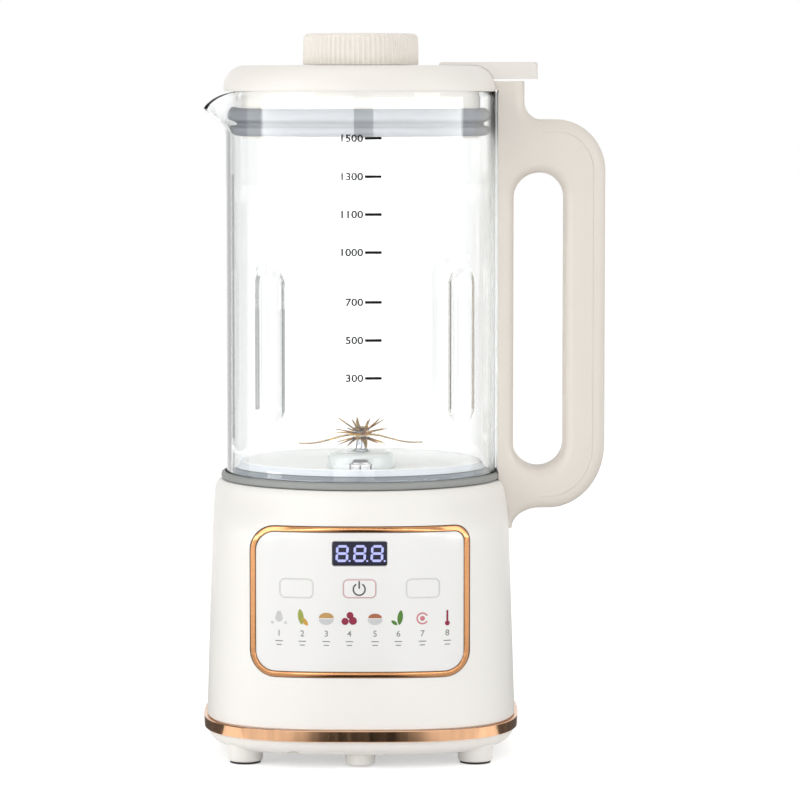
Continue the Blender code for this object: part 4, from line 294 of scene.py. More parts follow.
def glassLook(name, colour, paleEdge, darkEdge):
    # clear glass that darkens where it is seen edge on; lamps pass through it to what stands inside
    look, nodes, links, shader, spot = startLook(name)
    facing = nodes.new("ShaderNodeLayerWeight")
    fillSockets(facing, {"Blend": 0.5})
    stops = [(0.62, colour), (0.86, paleEdge), (1.0, darkEdge)]
    links.new(rampColours(nodes, links, facing.outputs["Facing"], stops), shader.inputs["Base Color"])
    fillSockets(shader, {"Transmission Weight": 1.0, "IOR": 1.47})
    wipes = noiseField(nodes, links, spot, 24, 3)
    links.new(spread(nodes, links, wipes, 0.0, 0.012), shader.inputs["Roughness"])
    clear = nodes.new("ShaderNodeBsdfTransparent")
    fillSockets(clear, {"Color": (0.995, 1.0, 1.0, 1)})
    path = nodes.new("ShaderNodeLightPath")
    surface = mixShaders(nodes, links, path.outputs["Is Shadow Ray"], shader, clear)
    links.new(surface, nodes["Material Output"].inputs["Surface"])
    return look


def glowLook(name, colour, strength):
    look, nodes, links, shader, spot = startLook(name)
    cells = noiseField(nodes, links, spot, 900, 1)
    links.new(tintColours(nodes, links, cells, colour, 0.9), shader.inputs["Emission Color"])
    fillSockets(shader, {"Base Color": (0.05, 0.05, 0.06, 1), "Emission Strength": strength})
    return look


def inkLook(name, colour):
    look, nodes, links, shader, spot = startLook(name)
    dots = noiseField(nodes, links, spot, 1500, 2)
    links.new(tintColours(nodes, links, dots, colour, 0.88), shader.inputs["Base Color"])
    fillSockets(shader, {"Roughness": 0.5, "Specular IOR Level": 0.12})
    return look


creamLook = mouldedLook("creamPlastic", (0.865, 0.845, 0.805), 0.4)
lidLook = mouldedLook("lidPlastic", (0.85, 0.815, 0.765), 0.42)
knobLook = mouldedLook("knobPlastic", (0.815, 0.77, 0.71), 0.45)
gripLook = mouldedLook("gripPlastic", (0.72, 0.665, 0.60), 0.38, 2000, 0.97, 0.2)
# a darker copy of the lid plastic for the lid's tongue: painted shade
shadedTabLook = mouldedLook("shadedTabPlastic", (0.755, 0.72, 0.675), 0.42)
# a pale sheet for the handle's inner face: painted light where the lid and seal shade it
litSheetLook = mouldedLook("paintedLightSheet", (0.95, 0.945, 0.93), 0.5)
plugLook = mouldedLook("plugPlastic", (0.87, 0.835, 0.79), 0.4)
whiteLook = mouldedLook("panelPlastic", (0.83, 0.825, 0.81), 0.22, 4000, 0.99, 0.05, 0.3)
floorLook = mouldedLook("floorCeramic", (0.985, 0.985, 0.98), 0.5, 3000, 0.98, 0.05)
siliconeLook = mouldedLook("greySilicone", (0.30, 0.31, 0.30), 0.5, 1200, 0.93, 0.15)
sealLook = mouldedLook("sealSilicone", (0.235, 0.25, 0.275), 0.5, 1200, 0.95, 0.15)
innerSealLook = mouldedLook("innerSilicone", (0.22, 0.25, 0.28), 0.5, 1200, 0.93, 0.15)
# pale silicone of the floor ring; on the ring under the glass foot the same pale colour is painted light
paleSiliconeAndLitLook = mouldedLook("paleSiliconeAndPaintedLight", (0.66, 0.69, 0.73), 0.45, 1200, 0.95, 0.15)
# black rubber of the pads and seals; on the thin rings at the jug's foot the same black is painted shade
rubberAndShadeLook = mouldedLook("blackRubberAndShade", (0.025, 0.025, 0.025), 0.75, 1500, 0.8, 0.3)
milkyLook = mouldedLook("milkySeat", (0.62, 0.65, 0.645), 0.25, 2500, 0.96, 0.05, 0.3)
blackLook = mouldedLook("blackPlastic", (0.03, 0.03, 0.033), 0.5, 1800, 0.8, 0.2)
boardLook = mouldedLook("circuitBoard", (0.03, 0.16, 0.07), 0.4, 700, 0.7, 0.2, 0.3)
windowLook = mouldedLook("displayWindow", (0.014, 0.014, 0.040), 0.12, 3000, 0.9, 0.02, 0.5)
copperLook = metalLook("frameCopper", (0.56, 0.275, 0.125), 0.15, (1, 1, 60), 40, 0.86, 0.08)
bandLook = metalLook("brushedRose", (0.86, 0.50, 0.29), 0.12, (1, 1, 0.03), 260, 0.86, 0.03)
steelLook = metalLook("turnedSteel", (0.66, 0.66, 0.67), 0.25, (1, 1, 25), 90, 0.8, 0.08)
# a darker copy of the steel for the blade shaft: painted shade under the hub and painted dark reflections on its
# edges
shadedShaftLook = metalLook("shadedShaftSteel", (0.36, 0.37, 0.39), 0.22, (1, 1, 25), 90, 0.8, 0.08)
hubLook = metalLook("goldenHub", (0.92, 0.62, 0.20), 0.16, (1, 1, 8), 200, 0.7, 0.05)
goldLook = metalLook("goldenBlade", (0.50, 0.275, 0.03), 0.14, (1, 1, 1), 420, 0.12, 0.12)
aluminiumLook = metalLook("castAluminium", (0.7, 0.7, 0.72), 0.45, (1, 1, 1), 400, 0.85, 0.25)
# dark steel of the motor core; on the probe the same dark steel is a painted dark reflection
coreAndReflectionLook = metalLook("motorCoreAndDarkReflection", (0.26, 0.26, 0.28), 0.5, (1, 1, 90), 40, 0.6, 0.3)
jugGlassLook = glassLook("clearGlass", (0.985, 0.995, 0.992), (0.92, 0.94, 0.94), (0.34, 0.36, 0.36))
digitLook = glowLook("digitGlow", (0.44, 0.47, 0.95), 1.15)
markLook = inkLook("blackInk", (0.004, 0.004, 0.004))
greyInk = inkLook("greyInk", (0.10, 0.10, 0.105))
paleInk = inkLook("paleInk", (0.56, 0.56, 0.55))
numberInk = inkLook("numberInk", (0.26, 0.26, 0.26))
faintInk = inkLook("faintInk", (0.70, 0.70, 0.69))
roseInk = inkLook("roseInk", (0.60, 0.20, 0.22))
print("materials made")


# CAD nodes that keep their own shape

keptNodes = {
    "seat_well": creamLook, "shaft_seal": rubberAndShadeLook, "coupler_socket": blackLook, "power_inlet": blackLook,
    "power_board": boardLook, "control_board": boardLook, "motor_damper": rubberAndShadeLook,
    "upper_bracket": steelLook, "lower_bracket": steelLook, "upper_bearing": steelLook,
    "lower_bearing": steelLook, "stator": coreAndReflectionLook, "brush_left": blackLook, "brush_right": blackLook,
    "motor_shaft": steelLook, "armature": coreAndReflectionLook, "cooling_fan": blackLook, "drive_spline": blackLook,
    "jug_collar": creamLook, "jug_base_plate": blackLook, "heater_disc": aluminiumLook,
    "blade_bush": steelLook, "clamp_nut": steelLook, "coupler_plug": blackLook, "reed_switch": blackLook,
    "drive_socket": blackLook, "lid_magnet": steelLook, "cap_plug": plugLook, "cap_seal": siliconeLook,
}
for nodeName, look in keptNodes.items():
    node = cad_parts[nodeName]
    if not node.data.materials:
        node.data.materials.append(look)
    for place in range(len(node.material_slots)):
        node.material_slots[place].material = look


# base housing

housing = {
    "bandTop": 18.7, "low": 13.5, "footHalf": (71.3, 68.5), "topHalf": 68.0, "rim": 64.7,
    "shoulder": 119.0, "top": 126.3, "squareEnd": 104.0, "roundStart": 123.0, "wall": 3.2,
    "hole": 58.5, "holeEdge": 0.5, "plate": 4.0, "tuck": 1.0, "foldIn": 0.35, "columns": 224,
    "outside": (19.1, 30, 45, 60, 75, 90, 100, 104), "inside": (112, 104, 60),
    "opening": ((0, 76.6), 49.7, 34.3, (7.2, 11.7, 11.7, 11.7)), "openingDepth": (-74, -42),
    "handleNotch": ((55.5, -14.5, 103.6), (75.2, 14.5, 132)), "inletMouth": ((-14, 42, 26), (14, 74, 46)),
}


def housingSection(z):
    rise = min(max((z - housing["bandTop"]) / (housing["shoulder"] - housing["bandTop"]), 0), 1)
    halfX, halfY = [foot + (housing["topHalf"] - foot) * rise for foot in housing["footHalf"]]
    if z > housing["shoulder"]:
        lean = min((z - housing["shoulder"]) / (housing["top"] - housing["shoulder"]), 1)
        shrink = (housing["topHalf"] - housing["rim"]) * (1 - math.sqrt(1 - lean * lean))
        halfX -= shrink
        halfY -= shrink
    turn = min(max((z - housing["squareEnd"]) / (housing["roundStart"] - housing["squareEnd"]), 0), 1)
    return halfX, halfY, 3 - turn * turn * (3 - 2 * turn)


def squarishPoint(azimuth, halfX, halfY, power, z):
    reach = (abs(math.cos(azimuth) / halfX) ** power + abs(math.sin(azimuth) / halfY) ** power) ** (-1 / power)
    return (reach * math.cos(azimuth), reach * math.sin(azimuth), z)


def housingLevel(z, inset=0.0, atZ=None):
    halfX, halfY, power = housingSection(z)
    height = z if atZ is None else atZ
    return lambda azimuth: squarishPoint(azimuth, halfX - inset, halfY - inset, power, height)


def roundLevel(radius, z):
    return lambda azimuth: (radius * math.cos(azimuth), radius * math.sin(azimuth), z)


def frontDepth(x, z):
    halfX, halfY, power = housingSection(z)
    return halfY * (1 - abs(x / halfX) ** power) ** (1 / power)


def buildHousing():
    h = housing
    seat, rise, bend = h["bandTop"] + 0.1, h["top"] - h["shoulder"], h["shoulder"] - h["squareEnd"]
    levels = [housingLevel(h["bandTop"], h["tuck"], z) for z in (h["low"], seat)]
    levels += [housingLevel(seat, h["foldIn"])] + [housingLevel(z) for z in h["outside"]]
    levels += [housingLevel(h["squareEnd"] + bend * i / 12) for i in range(1, 13)]
    levels += [housingLevel(h["shoulder"] + rise * math.sin(math.pi / 2 * i / 8)) for i in range(1, 9)]
    ceiling = h["top"] - h["plate"]
    levels += [roundLevel(h["hole"] + h["holeEdge"], h["top"]), roundLevel(h["hole"], h["top"] - h["holeEdge"]),
               roundLevel(h["hole"], ceiling), housingLevel(h["shoulder"], h["wall"], ceiling)]
    levels += [housingLevel(z, h["wall"]) for z in h["inside"]]
    levels += [housingLevel(h["bandTop"], h["wall"], h["low"])]
    bm = loft(levels, h["columns"])
    opening = slab(roundedBox(*h["opening"]), *h["openingDepth"])
    return carve(bm, [opening, block(*h["handleNotch"]), block(*h["inletMouth"])])


addPiece("housingShell", buildHousing(), creamLook, "base", ["base_housing"], sharp=40)

band = {"half": (72.8, 70.0), "low": 13.5, "high": 18.4, "wall": 2.2, "softLow": 0.15, "softHigh": 0.2,
        "columns": 224}


def squareLevels(half, stations):
    # stations: how far in from the outer half widths, and the height
    return [lambda azimuth, inset=inset, z=z: squarishPoint(azimuth, half[0] - inset, half[1] - inset, 3, z)
            for inset, z in stations]


def buildBand():
    low, high, wall, softLow, softHigh = [band[key] for key in ("low", "high", "wall", "softLow", "softHigh")]
    stations = [(softLow, low), (0, low + softLow), (0, high - softHigh), (softHigh, high), (wall, high),
                (wall, low)]
    return loft(squareLevels(band["half"], stations), band["columns"])


addPiece("bandRing", buildBand(), bandLook, "base", ["band_ring"], sharp=30)

# ventSlots: pitch, half width, half length, top; rimNotch: place, half width, height, inner end
cover = {"half": (71.2, 68.4), "foot": 6.1, "top": 13.2, "inset": 9.0, "wall": 2.4, "core": 40, "columns": 224,
         "ventSlots": (6.8, 1.5, 15, 12.5), "rimNotch": (-30, 3, 2.6, -56)}


def buildCover():
    c = cover
    tall, inner = c["top"] - c["foot"], c["foot"] + c["wall"]
    stations = [(c["core"], c["foot"]), (c["inset"] + 6, c["foot"])]
    for i in range(13):
        angle = math.pi / 2 * i / 12
        stations.append((c["inset"] * (1 - math.sin(angle)), c["top"] - tall * math.cos(angle)))
    stations += [(c["wall"], c["top"]), (c["inset"] + c["wall"], inner), (c["core"], inner)]
    bm = loft(squareLevels(c["half"], stations), c["columns"], closed=False)
    pitch, half, reach, high = c["ventSlots"]
    tools = [block((pitch * i - half, -reach, 2), (pitch * i + half, reach, high)) for i in range(-2, 3)]
    x, wide, rise, end = c["rimNotch"]
    tools.append(slab(arcPoints((x, c["foot"]), (wide, rise), 0, 360, 24)[:-1], -c["half"][1], end))
    return carve(bm, tools)


addPiece("bottomCover", buildCover(), creamLook, "base", ["bottom_cover"], sharp=38)

feet = {"side": 52.4, "forward": 43.6, "middle": (0, -52.7),
        "foot": [(0, 1.0), (6.9, 1.0), (7.6, 1.3), (7.95, 2.0), (8.0, 5.0), (8.2, 6.6), (8.6, 9.0), (0, 9.0)],
        "pad": [(0, 0), (6.3, 0), (6.9, 0.15), (7.1, 0.5), (7.1, 0.95), (0, 0.95)],
        "middleFoot": [(0, 0.8), (5.9, 0.8), (6.5, 1.2), (6.75, 2.0), (6.9, 9.0), (0, 9.0)]}
for end, endName in ((-1, "front"), (1, "rear")):
    for side, sideName in ((-1, "left"), (1, "right")):
        x, y = side * feet["side"], end * feet["forward"]
        corner = endName.title() + sideName.title()
        addPiece("foot" + corner, lathe(feet["foot"], 48, x, y), creamLook, "base")
        addPiece("pad" + corner, lathe(feet["pad"], 48, x, y), rubberAndShadeLook, "base",
                 ["foot_pad_" + endName + "_" + sideName])
addPiece("footCentre", lathe(feet["middleFoot"], 48, *feet["middle"]), creamLook, "base")
print("base made")


# front panel

# display: middle and half sizes; sign: middle, outer and inner radius
panel = {"middle": (0, 76.6), "half": (47.0, 31.6), "radii": (4.5, 9, 9, 9), "gap": 0.25, "depth": 2.2,
         "frameWidth": 2.4, "frameDepth": (-0.6, 3.0), "frameEdge": 0.45, "display": (0, 98.6, 12.0, 5.2),
         "keys": {"menu": (-28.4, faintInk), "power": (0, roseInk), "function": (28.4, faintInk)},
         "keyZ": 82.8, "keyHalf": (7.5, 4.3), "keyRadius": 2.3, "keyGap": 0.1, "keyDepth": 2.35,
         "sign": (-0.2, 82.5, 3.0, 2.3), "strips": (3.0, 6.0)}
cutDepth = (-2, 5)  # openings are cut from here to here
inkDepth = (-0.04, 0.04)  # print stands this far in and out
signDepth = (-0.05, 0.05)


def layOnFront(bm):
    for vert in bm.verts:
        vert.co.y -= frontDepth(vert.co.x, vert.co.z)
    return bm


def wrapFront(bm):
    # splits the flat shape into strips and lays it round the housing's front
    for count in range(-20, 21):
        x, z = [count * width for width in panel["strips"]]
        split(bm, (x, 0, 0), (1, 0, 0))
        split(bm, (0, 0, panel["middle"][1] + z), (0, 0, 1))
    return layOnFront(bm)


def panelOutline(grow):
    radii = [radius + grow for radius in panel["radii"]]
    return roundedBox(panel["middle"], panel["half"][0] + grow, panel["half"][1] + grow, radii, 10)


def keyOutline(x, grow):
    halfWidth, halfHeight = panel["keyHalf"]
    return roundedBox((x, panel["keyZ"]), halfWidth + grow, halfHeight + grow, panel["keyRadius"] + grow, 6)


def windowOutline(grow, radius):
    cx, cz, halfWidth, halfHeight = panel["display"]
    return roundedBox((cx, cz), halfWidth + grow, halfHeight + grow, radius, 4)


def buildFrame():
    ring = carve(slab(panelOutline(panel["frameWidth"]), *panel["frameDepth"]), [slab(panelOutline(0), *cutDepth)])
    rims = [edge for edge in ring.edges if all(vert.co.y < -0.5 for vert in edge.verts)
            and len(edge.link_faces) == 2 and edge.calc_face_angle(0) > 1.0]
    bmesh.ops.bevel(ring, geom=rims, offset=panel["frameEdge"], segments=3, profile=0.5, affect="EDGES",
                    material=-1)
    return wrapFront(ring)


addPiece("panelFrame", buildFrame(), copperLook, "base", ["panel_frame"], sharp=45)


def buildPanel():
    tools = [slab(windowOutline(0.3, 1), *cutDepth)]
    tools += [slab(keyOutline(x, panel["keyGap"]), *cutDepth) for x, lineLook in panel["keys"].values()]
    return wrapFront(carve(slab(panelOutline(-panel["gap"]), 0, panel["depth"]), tools))


addPiece("panelPlate", buildPanel(), whiteLook, "base", ["control_panel"], sharp=40)

for keyName, (x, lineLook) in panel["keys"].items():
    body = keyName + "_key"
    addPiece(keyName + "Key", wrapFront(slab(keyOutline(x, 0), 0, panel["keyDepth"])), whiteLook, body, [body],
             sharp=40)
    line = carve(slab(keyOutline(x, -0.2), *inkDepth), [slab(keyOutline(x, -0.5), -1, 1)])
    addPiece(keyName + "Outline", wrapFront(line), lineLook, body)

signX, signZ, outer, inner = panel["sign"]
powerRing = arcPoints((signX, signZ), (outer, outer), 120, 420, 40)
powerRing += arcPoints((signX, signZ), (inner, inner), 420, 120, 40)
addPiece("powerArc", wrapFront(slab(powerRing, *signDepth)), greyInk, "power_key")
powerBar = slab(roundedBox((signX, signZ + 2), 0.36, 1.75, 0.2, 3), *signDepth)
addPiece("powerBar", wrapFront(powerBar), greyInk, "power_key")


# display with three digits

digits = {"places": (-7.85, 0.05, 7.85), "height": 7.6, "width": 5.7, "bar": 1.1, "gap": 0.16, "lean": 0.06,
          "dotAway": 3.35, "dotRadius": 0.45, "sunk": 0.55, "windowDepth": 8.4}


def digitBars():
    w, h, t = digits["width"] / 2, digits["height"] / 2, digits["bar"] / 2
    gap = digits["gap"]
    for level in (-1, 0, 1):
        z = level * (h - t)
        yield [(-w + t + gap, z), (-w + 2 * t + gap, z + t), (w - 2 * t - gap, z + t), (w - t - gap, z),
               (w - 2 * t - gap, z - t), (-w + 2 * t + gap, z - t)]
    for side in (-1, 1):
        for low, high in ((-h + t, 0), (0, h - t)):
            x = side * (w - t)
            yield [(x, low + gap), (x + t, low + t + gap), (x + t, high - t - gap), (x, high - gap),
                   (x - t, high - t - gap), (x - t, low + t + gap)]


def buildDigits():
    parts = []
    z = panel["display"][1]
    frontY = digits["sunk"] - frontDepth(0, z)
    for x in digits["places"]:
        outlines = [[(x + u + digits["lean"] * v, z + v) for u, v in bar] for bar in digitBars()]
        outlines.append(disc(x + digits["dotAway"], z - digits["dotAway"], digits["dotRadius"], 16))
        parts += [slab(outline, frontY - 0.12, frontY + 0.05) for outline in outlines]
    return joined(parts)


windowShape = slab(windowOutline(0, 0.9), digits["sunk"], digits["windowDepth"])
for vert in windowShape.verts:
    vert.co.y -= frontDepth(*panel["display"][:2])
addPiece("displayWindow", windowShape, windowLook, "base", ["display"], roundBy=0.15)
addPiece("displayDigits", buildDigits(), digitLook, "base")
windowLine = carve(slab(windowOutline(0.6, 1.2), *inkDepth), [slab(windowOutline(0.3, 1), -1, 1)])
addPiece("displayOutline", wrapFront(windowLine), paleInk, "base")
print("panel made")


# printed row under the keys: eight small programme signs of their own design

signs = {"size": 1.3, "z": 69.2, "places": (-36.3, -25.8, -15.0, -4.6, 6.9, 17.4, 28.2, 39.4),
         "numberZ": 62.3, "letter": 3.9, "bold": 0.03, "dashes": ((3.4, 1.7), (5.1, 1.2)), "dashHalf": 0.22}
signInks = {
    "mist": inkLook("mistInk", (0.60, 0.61, 0.61)), "amber": inkLook("amberInk", (0.62, 0.36, 0.07)),
    "moss": inkLook("mossInk", (0.36, 0.40, 0.09)), "ochre": inkLook("ochreInk", (0.55, 0.33, 0.12)),
    "wine": inkLook("wineInk", (0.30, 0.035, 0.07)), "clay": inkLook("clayInk", (0.42, 0.15, 0.08)),
    "leaf": inkLook("leafInk", (0.10, 0.24, 0.05)), "blush": inkLook("blushInk", (0.62, 0.22, 0.24)),
}


def dropShape(x, z, size):
    points = []
    for i in range(28):
        angle = math.tau * i / 28
        reach = size * (0.62 + 0.38 * max(0, math.cos(angle)) ** 6 * 1.6)
        points.append((x + reach * math.sin(angle), z + reach * math.cos(angle)))
    return points


def leafShape(x, z, length, width, lean):
    points = []
    for i in range(24):
        angle = math.tau * i / 24
        u = length / 2 * math.cos(angle)
        v = width / 2 * math.sin(angle) * abs(math.sin(angle)) ** 0.4
        points.append((x + u * math.cos(lean) - v * math.sin(lean), z + u * math.sin(lean) + v * math.cos(lean)))
    return points


def bowlShape(x, z, radius):
    return arcPoints((x, z), (radius, radius * 0.8), 180, 360, 16)


def signShapes():
    z = signs["z"]
    a, b, c, d, e, f, g, h = signs["places"]
    yield "mist", a, [dropShape(a, z, 2.1), disc(a - 2.3, z - 1.6, 0.5), disc(a + 2.3, z - 1.6, 0.5)]
    yield "moss", b, [leafShape(b - 0.5, z + 0.6, 5.4, 2.0, 1.7)]
    yield "amber", b, [leafShape(b + 0.9, z - 1.1, 3.4, 1.5, 2.2)]
    yield "ochre", c, [arcPoints((c, z + 0.2), (2.6, 1.9), 0, 180, 16)]
    yield "mist", c, [bowlShape(c, z - 0.1, 2.6)]
    yield "mist", e, [bowlShape(e, z - 0.1, 2.6)]
    yield "wine", d, [disc(d - 1.5, z - 0.9, 1.25), disc(d + 1.2, z - 0.7, 1.4), disc(d + 0.2, z + 1.2, 1.2)]
    yield "clay", e, [arcPoints((e, z + 0.2), (2.4, 1.6), 0, 180, 16)]
    yield "leaf", f, [leafShape(f + 0.6, z + 0.4, 5.2, 1.9, 1.45), leafShape(f - 1.4, z - 1.4, 2.6, 1.2, 2.5)]
    ring = arcPoints((g, z), (2.1, 2.1), 30, 330, 30) + arcPoints((g, z), (1.6, 1.6), 330, 30, 30)
    yield "blush", g, [ring, disc(g, z, 0.85)]
    yield "wine", h, [roundedBox((h, z + 0.7), 0.34, 2.0, 0.3, 4), disc(h, z - 1.9, 0.85)]


for count, (inkName, place, outlines) in enumerate(signShapes()):
    outlines = [[(place + (u - place) * signs["size"], signs["z"] + (v - signs["z"]) * signs["size"])
                 for u, v in outline] for outline in outlines]
    shapes = joined([wrapFront(slab(outline, *signDepth)) for outline in outlines])
    addPiece("sign" + str(count + 1), shapes, signInks[inkName], "base")


def textShape(words, size, align, bold):
    letters = bpy.data.curves.new("letters", "FONT")
    letters.body = words
    letters.size = size
    letters.align_x = align
    letters.align_y = "CENTER"
    letters.resolution_u = 4
    letters.extrude = 0.04
    letters.offset = bold
    holder = bpy.data.objects.new("letters", letters)
    bpy.context.scene.collection.objects.link(holder)
    bm = meshResult(holder)
    bmesh.ops.rotate(bm, verts=bm.verts[:], cent=(0, 0, 0), matrix=Matrix.Rotation(math.pi / 2, 3, "X"))
    return bm


def buildNumbers():
    parts = []
    for count, x in enumerate(signs["places"]):
        word = textShape(str(count + 1), signs["letter"], "CENTER", signs["bold"])
        bmesh.ops.translate(word, vec=(x, 0, signs["numberZ"]), verts=word.verts[:])
        parts.append(layOnFront(word))
        for drop, half in signs["dashes"]:
            dash = roundedBox((x, signs["numberZ"] - drop), half, signs["dashHalf"], 0.2, 3)
            parts.append(wrapFront(slab(dash, *inkDepth)))
    return joined(parts)


addPiece("signNumbers", buildNumbers(), numberInk, "base")
print("signs made")


# glass jug

glass = {"radius": 62.3, "inner": 60.2, "low": 128.5, "rim": 305.3, "soft": 0.45, "flutes": 48.5,
         "fluteHalf": 8.6, "fluteDepth": 3.3, "fluteLow": 153.5, "fluteHigh": 227.0, "fluteEnd": 9.0,
         "spoutReach": 10.5, "spoutHalf": 27.0, "spoutRoot": 286.0, "spoutDrop": 8.0, "columns": 360}


def flutePress(azimuth, z):
    # azimuth is counted from the front, towards the handle
    away = (azimuth - math.radians(glass["flutes"]) + math.pi / 4) % (math.pi / 2) - math.pi / 4
    across = abs(away) * glass["radius"] / glass["fluteHalf"]
    middle = (glass["fluteLow"] + glass["fluteHigh"]) / 2
    straight = (glass["fluteHigh"] - glass["fluteLow"]) / 2 - glass["fluteEnd"]
    along = max(0, abs(z - middle) - straight) / glass["fluteEnd"]
    share = min(1, math.hypot(across, along))
    return glass["fluteDepth"] * (1 - share * share) ** 1.4


def spoutShare(azimuth):
    away = abs((azimuth - math.radians(270) + math.pi) % math.tau - math.pi)
    if away >= math.radians(glass["spoutHalf"]):
        return 0.0
    return math.cos(away / math.radians(glass["spoutHalf"]) * math.pi / 2) ** 2


def glassLevel(radius, z):
    def point(angle):
        azimuth = angle + math.pi / 2
        share = spoutShare(azimuth)
        rise = min(max((z - glass["spoutRoot"]) / (glass["rim"] - glass["spoutRoot"]), 0), 1)
        reach = radius - flutePress(azimuth, z) + glass["spoutReach"] * share ** 1.15 * rise ** 1.35
        drop = glass["spoutDrop"] * (0.5 * share + 0.5 * share ** 3.5)
        return (reach * math.cos(angle), reach * math.sin(angle), z - drop * rise)
    return point


def buildGlass():
    g = glass
    soft = g["soft"]
    # closer levels where the flutes end and where the spout opens
    heights = [130.5, 140, 150] + [153 + i for i in range(13)] + [172, 182, 190, 198, 207]
    heights += [213 + i for i in range(14)] + [235, 250, 265, 278] + [284 + i * 1.5 for i in range(13)]
    levels = [glassLevel(g["radius"] - 0.5, g["low"]), glassLevel(g["radius"] - 0.1, g["low"] + 0.4)]
    levels += [glassLevel(g["radius"], z) for z in heights]
    for middle, start in ((g["radius"] - soft, 0), (g["inner"] + soft, 90)):
        rim = arcPoints((middle, g["rim"] - soft), (soft, soft), start, start + 90, 3)
        levels += [glassLevel(r, z) for r, z in rim]
    levels += [glassLevel(g["inner"], z) for z in reversed(heights)]
    levels += [glassLevel(g["inner"] + 0.1, g["low"] + 0.4), glassLevel(g["inner"] + 0.5, g["low"])]
    return loft(levels, g["columns"])


addPiece("glassJug", buildGlass(), jugGlassLook, "jug", ["jug_glass"], sharp=60)

marks = {"heights": {"1500": 284.2, "1300": 267.1, "1100": 250.2, "1000": 233.2, "700": 210.9, "500": 193.8,
                     "300": 176.8},
         "letter": 4.6, "bold": 0.06, "wide": 1.18, "right": 1.7, "dashX": 6.2, "dashHalf": (3.75, 0.6),
         "dashLift": 0.15, "radius": 62.36}


def rollOnGlass(bm):
    for vert in bm.verts:
        angle = vert.co.x / marks["radius"]
        reach = marks["radius"] - vert.co.y
        vert.co.x, vert.co.y = reach * math.sin(angle), -reach * math.cos(angle)
    return bm


def buildMarks():
    parts = []
    for number, z in marks["heights"].items():
        word = textShape(number, marks["letter"], "RIGHT", marks["bold"])
        bmesh.ops.scale(word, vec=(marks["wide"], 1, 1), verts=word.verts[:])
        bmesh.ops.translate(word, vec=(marks["right"], 0, z), verts=word.verts[:])
        dash = slab(roundedBox((marks["dashX"], z + marks["dashLift"]), *marks["dashHalf"], 0.25, 3), *inkDepth)
        split(dash, (marks["dashX"], 0, 0), (1, 0, 0))
        parts += [rollOnGlass(word), rollOnGlass(dash)]
    return joined(parts)


addPiece("measureMarks", buildMarks(), markLook, "jug")
print("glass made")


# seals and floor of the jug

gasketProfile = [(64.2, 126.6), (64.7, 127.0), (64.85, 128.2), (64.6, 129.3), (64.0, 129.9), (63.2, 129.9),
                 (62.8, 129.5), (62.8, 128.2), (52.0, 128.2), (52.0, 127.2), (58.1, 127.2), (58.1, 126.6)]
addPiece("footGasket", lathe(gasketProfile, 200), siliconeLook, "jug", ["jug_gasket"],
         roundBy=0.12)
floorProfile = [(9.3, 130.05), (51.8, 130.05), (51.8, 132.15), (57.0, 132.15), (57.1, 132.6), (55.3, 134.8),
                (54.6, 135.2), (53.6, 135.2), (52.6, 134.9), (50.5, 133.4), (48.0, 132.2), (45.0, 131.6),
                (42.0, 131.5), (9.3, 131.5)]
probe = {"y": -22.5, "corner": 5.5, "low": 131.6, "high": 135.0}
probeHole = lathe([(0, 120), (2.8, 120), (2.8, 140), (0, 140)], 32, 0, probe["y"])
addPiece("jugFloor", carve(lathe(floorProfile, 176), [probeHole]), floorLook, "jug", ["jug_floor"])
ringSkin = [(57.05, 132.2), (57.3, 132.3), (57.3, 132.65), (55.45, 134.95), (55.2, 134.8), (57.0, 132.6)]
addPiece("floorRingSkin", lathe(ringSkin, 176), paleSiliconeAndLitLook, "jug")
innerSealProfile = [(52.0, 128.6), (59.95, 128.6), (59.95, 130.6), (59.2, 131.6), (57.6, 132.1), (52.0, 132.1)]
addPiece("innerSeal", lathe(innerSealProfile, 176), innerSealLook, "jug")
# a pale ring under the glass foot: painted light on the gasket's shaded shelf
litRingProfile = [(60.1, 128.25), (62.6, 128.25), (62.6, 128.45), (60.1, 128.45)]
# thin black rings: painted shade in the crease at the floor ring's foot and in the gap between glass and gasket
creaseShadeProfile = [(56.5, 132.1), (57.5, 132.1), (57.5, 132.28), (56.5, 132.28)]
gapShadeProfile = [(62.4, 129.5), (62.85, 129.5), (62.85, 129.98), (62.4, 129.98)]
addPiece("footShadeRings", joined([lathe(creaseShadeProfile, 176), lathe(gapShadeProfile, 176)]), rubberAndShadeLook, "jug")
addPiece("footLitRing", lathe(litRingProfile, 176), paleSiliconeAndLitLook, "jug")

seatProfile = [(2.6, 138.0), (4.2, 138.0), (4.8, 138.5), (12.2, 138.5), (13.8, 138.1), (15.0, 137.2),
               (15.4, 136.4), (15.5, 132.1), (15.2, 131.6), (9.0, 131.6), (9.0, 114.0), (6.0, 114.0),
               (6.0, 135.8), (2.6, 135.8)]
addPiece("bladeSeat", lathe(seatProfile, 120), milkyLook, "jug", ["blade_seat"])


def hexPoints(radius):
    turns = [math.tau * i / 6 for i in range(6)]
    return [(radius * math.sin(turn), probe["y"] - radius * math.cos(turn)) for turn in turns]


def buildProbe():
    bm = slab(hexPoints(probe["corner"]), probe["low"], probe["high"], "Z")
    crown = lathe([(0, 134.9), (4.3, 134.9), (4.3, 135.6), (3.7, 135.9), (0, 135.9)], 48, 0, probe["y"])
    stem = lathe([(0, 122.8), (2.5, 122.8), (2.5, 132.5), (0, 132.5)], 32, 0, probe["y"])
    return carve(bm, [crown, stem], "UNION")


addPiece("probeNut", buildProbe(), steelLook, "jug", ["temperature_probe"], roundBy=0.25, sharp=25)
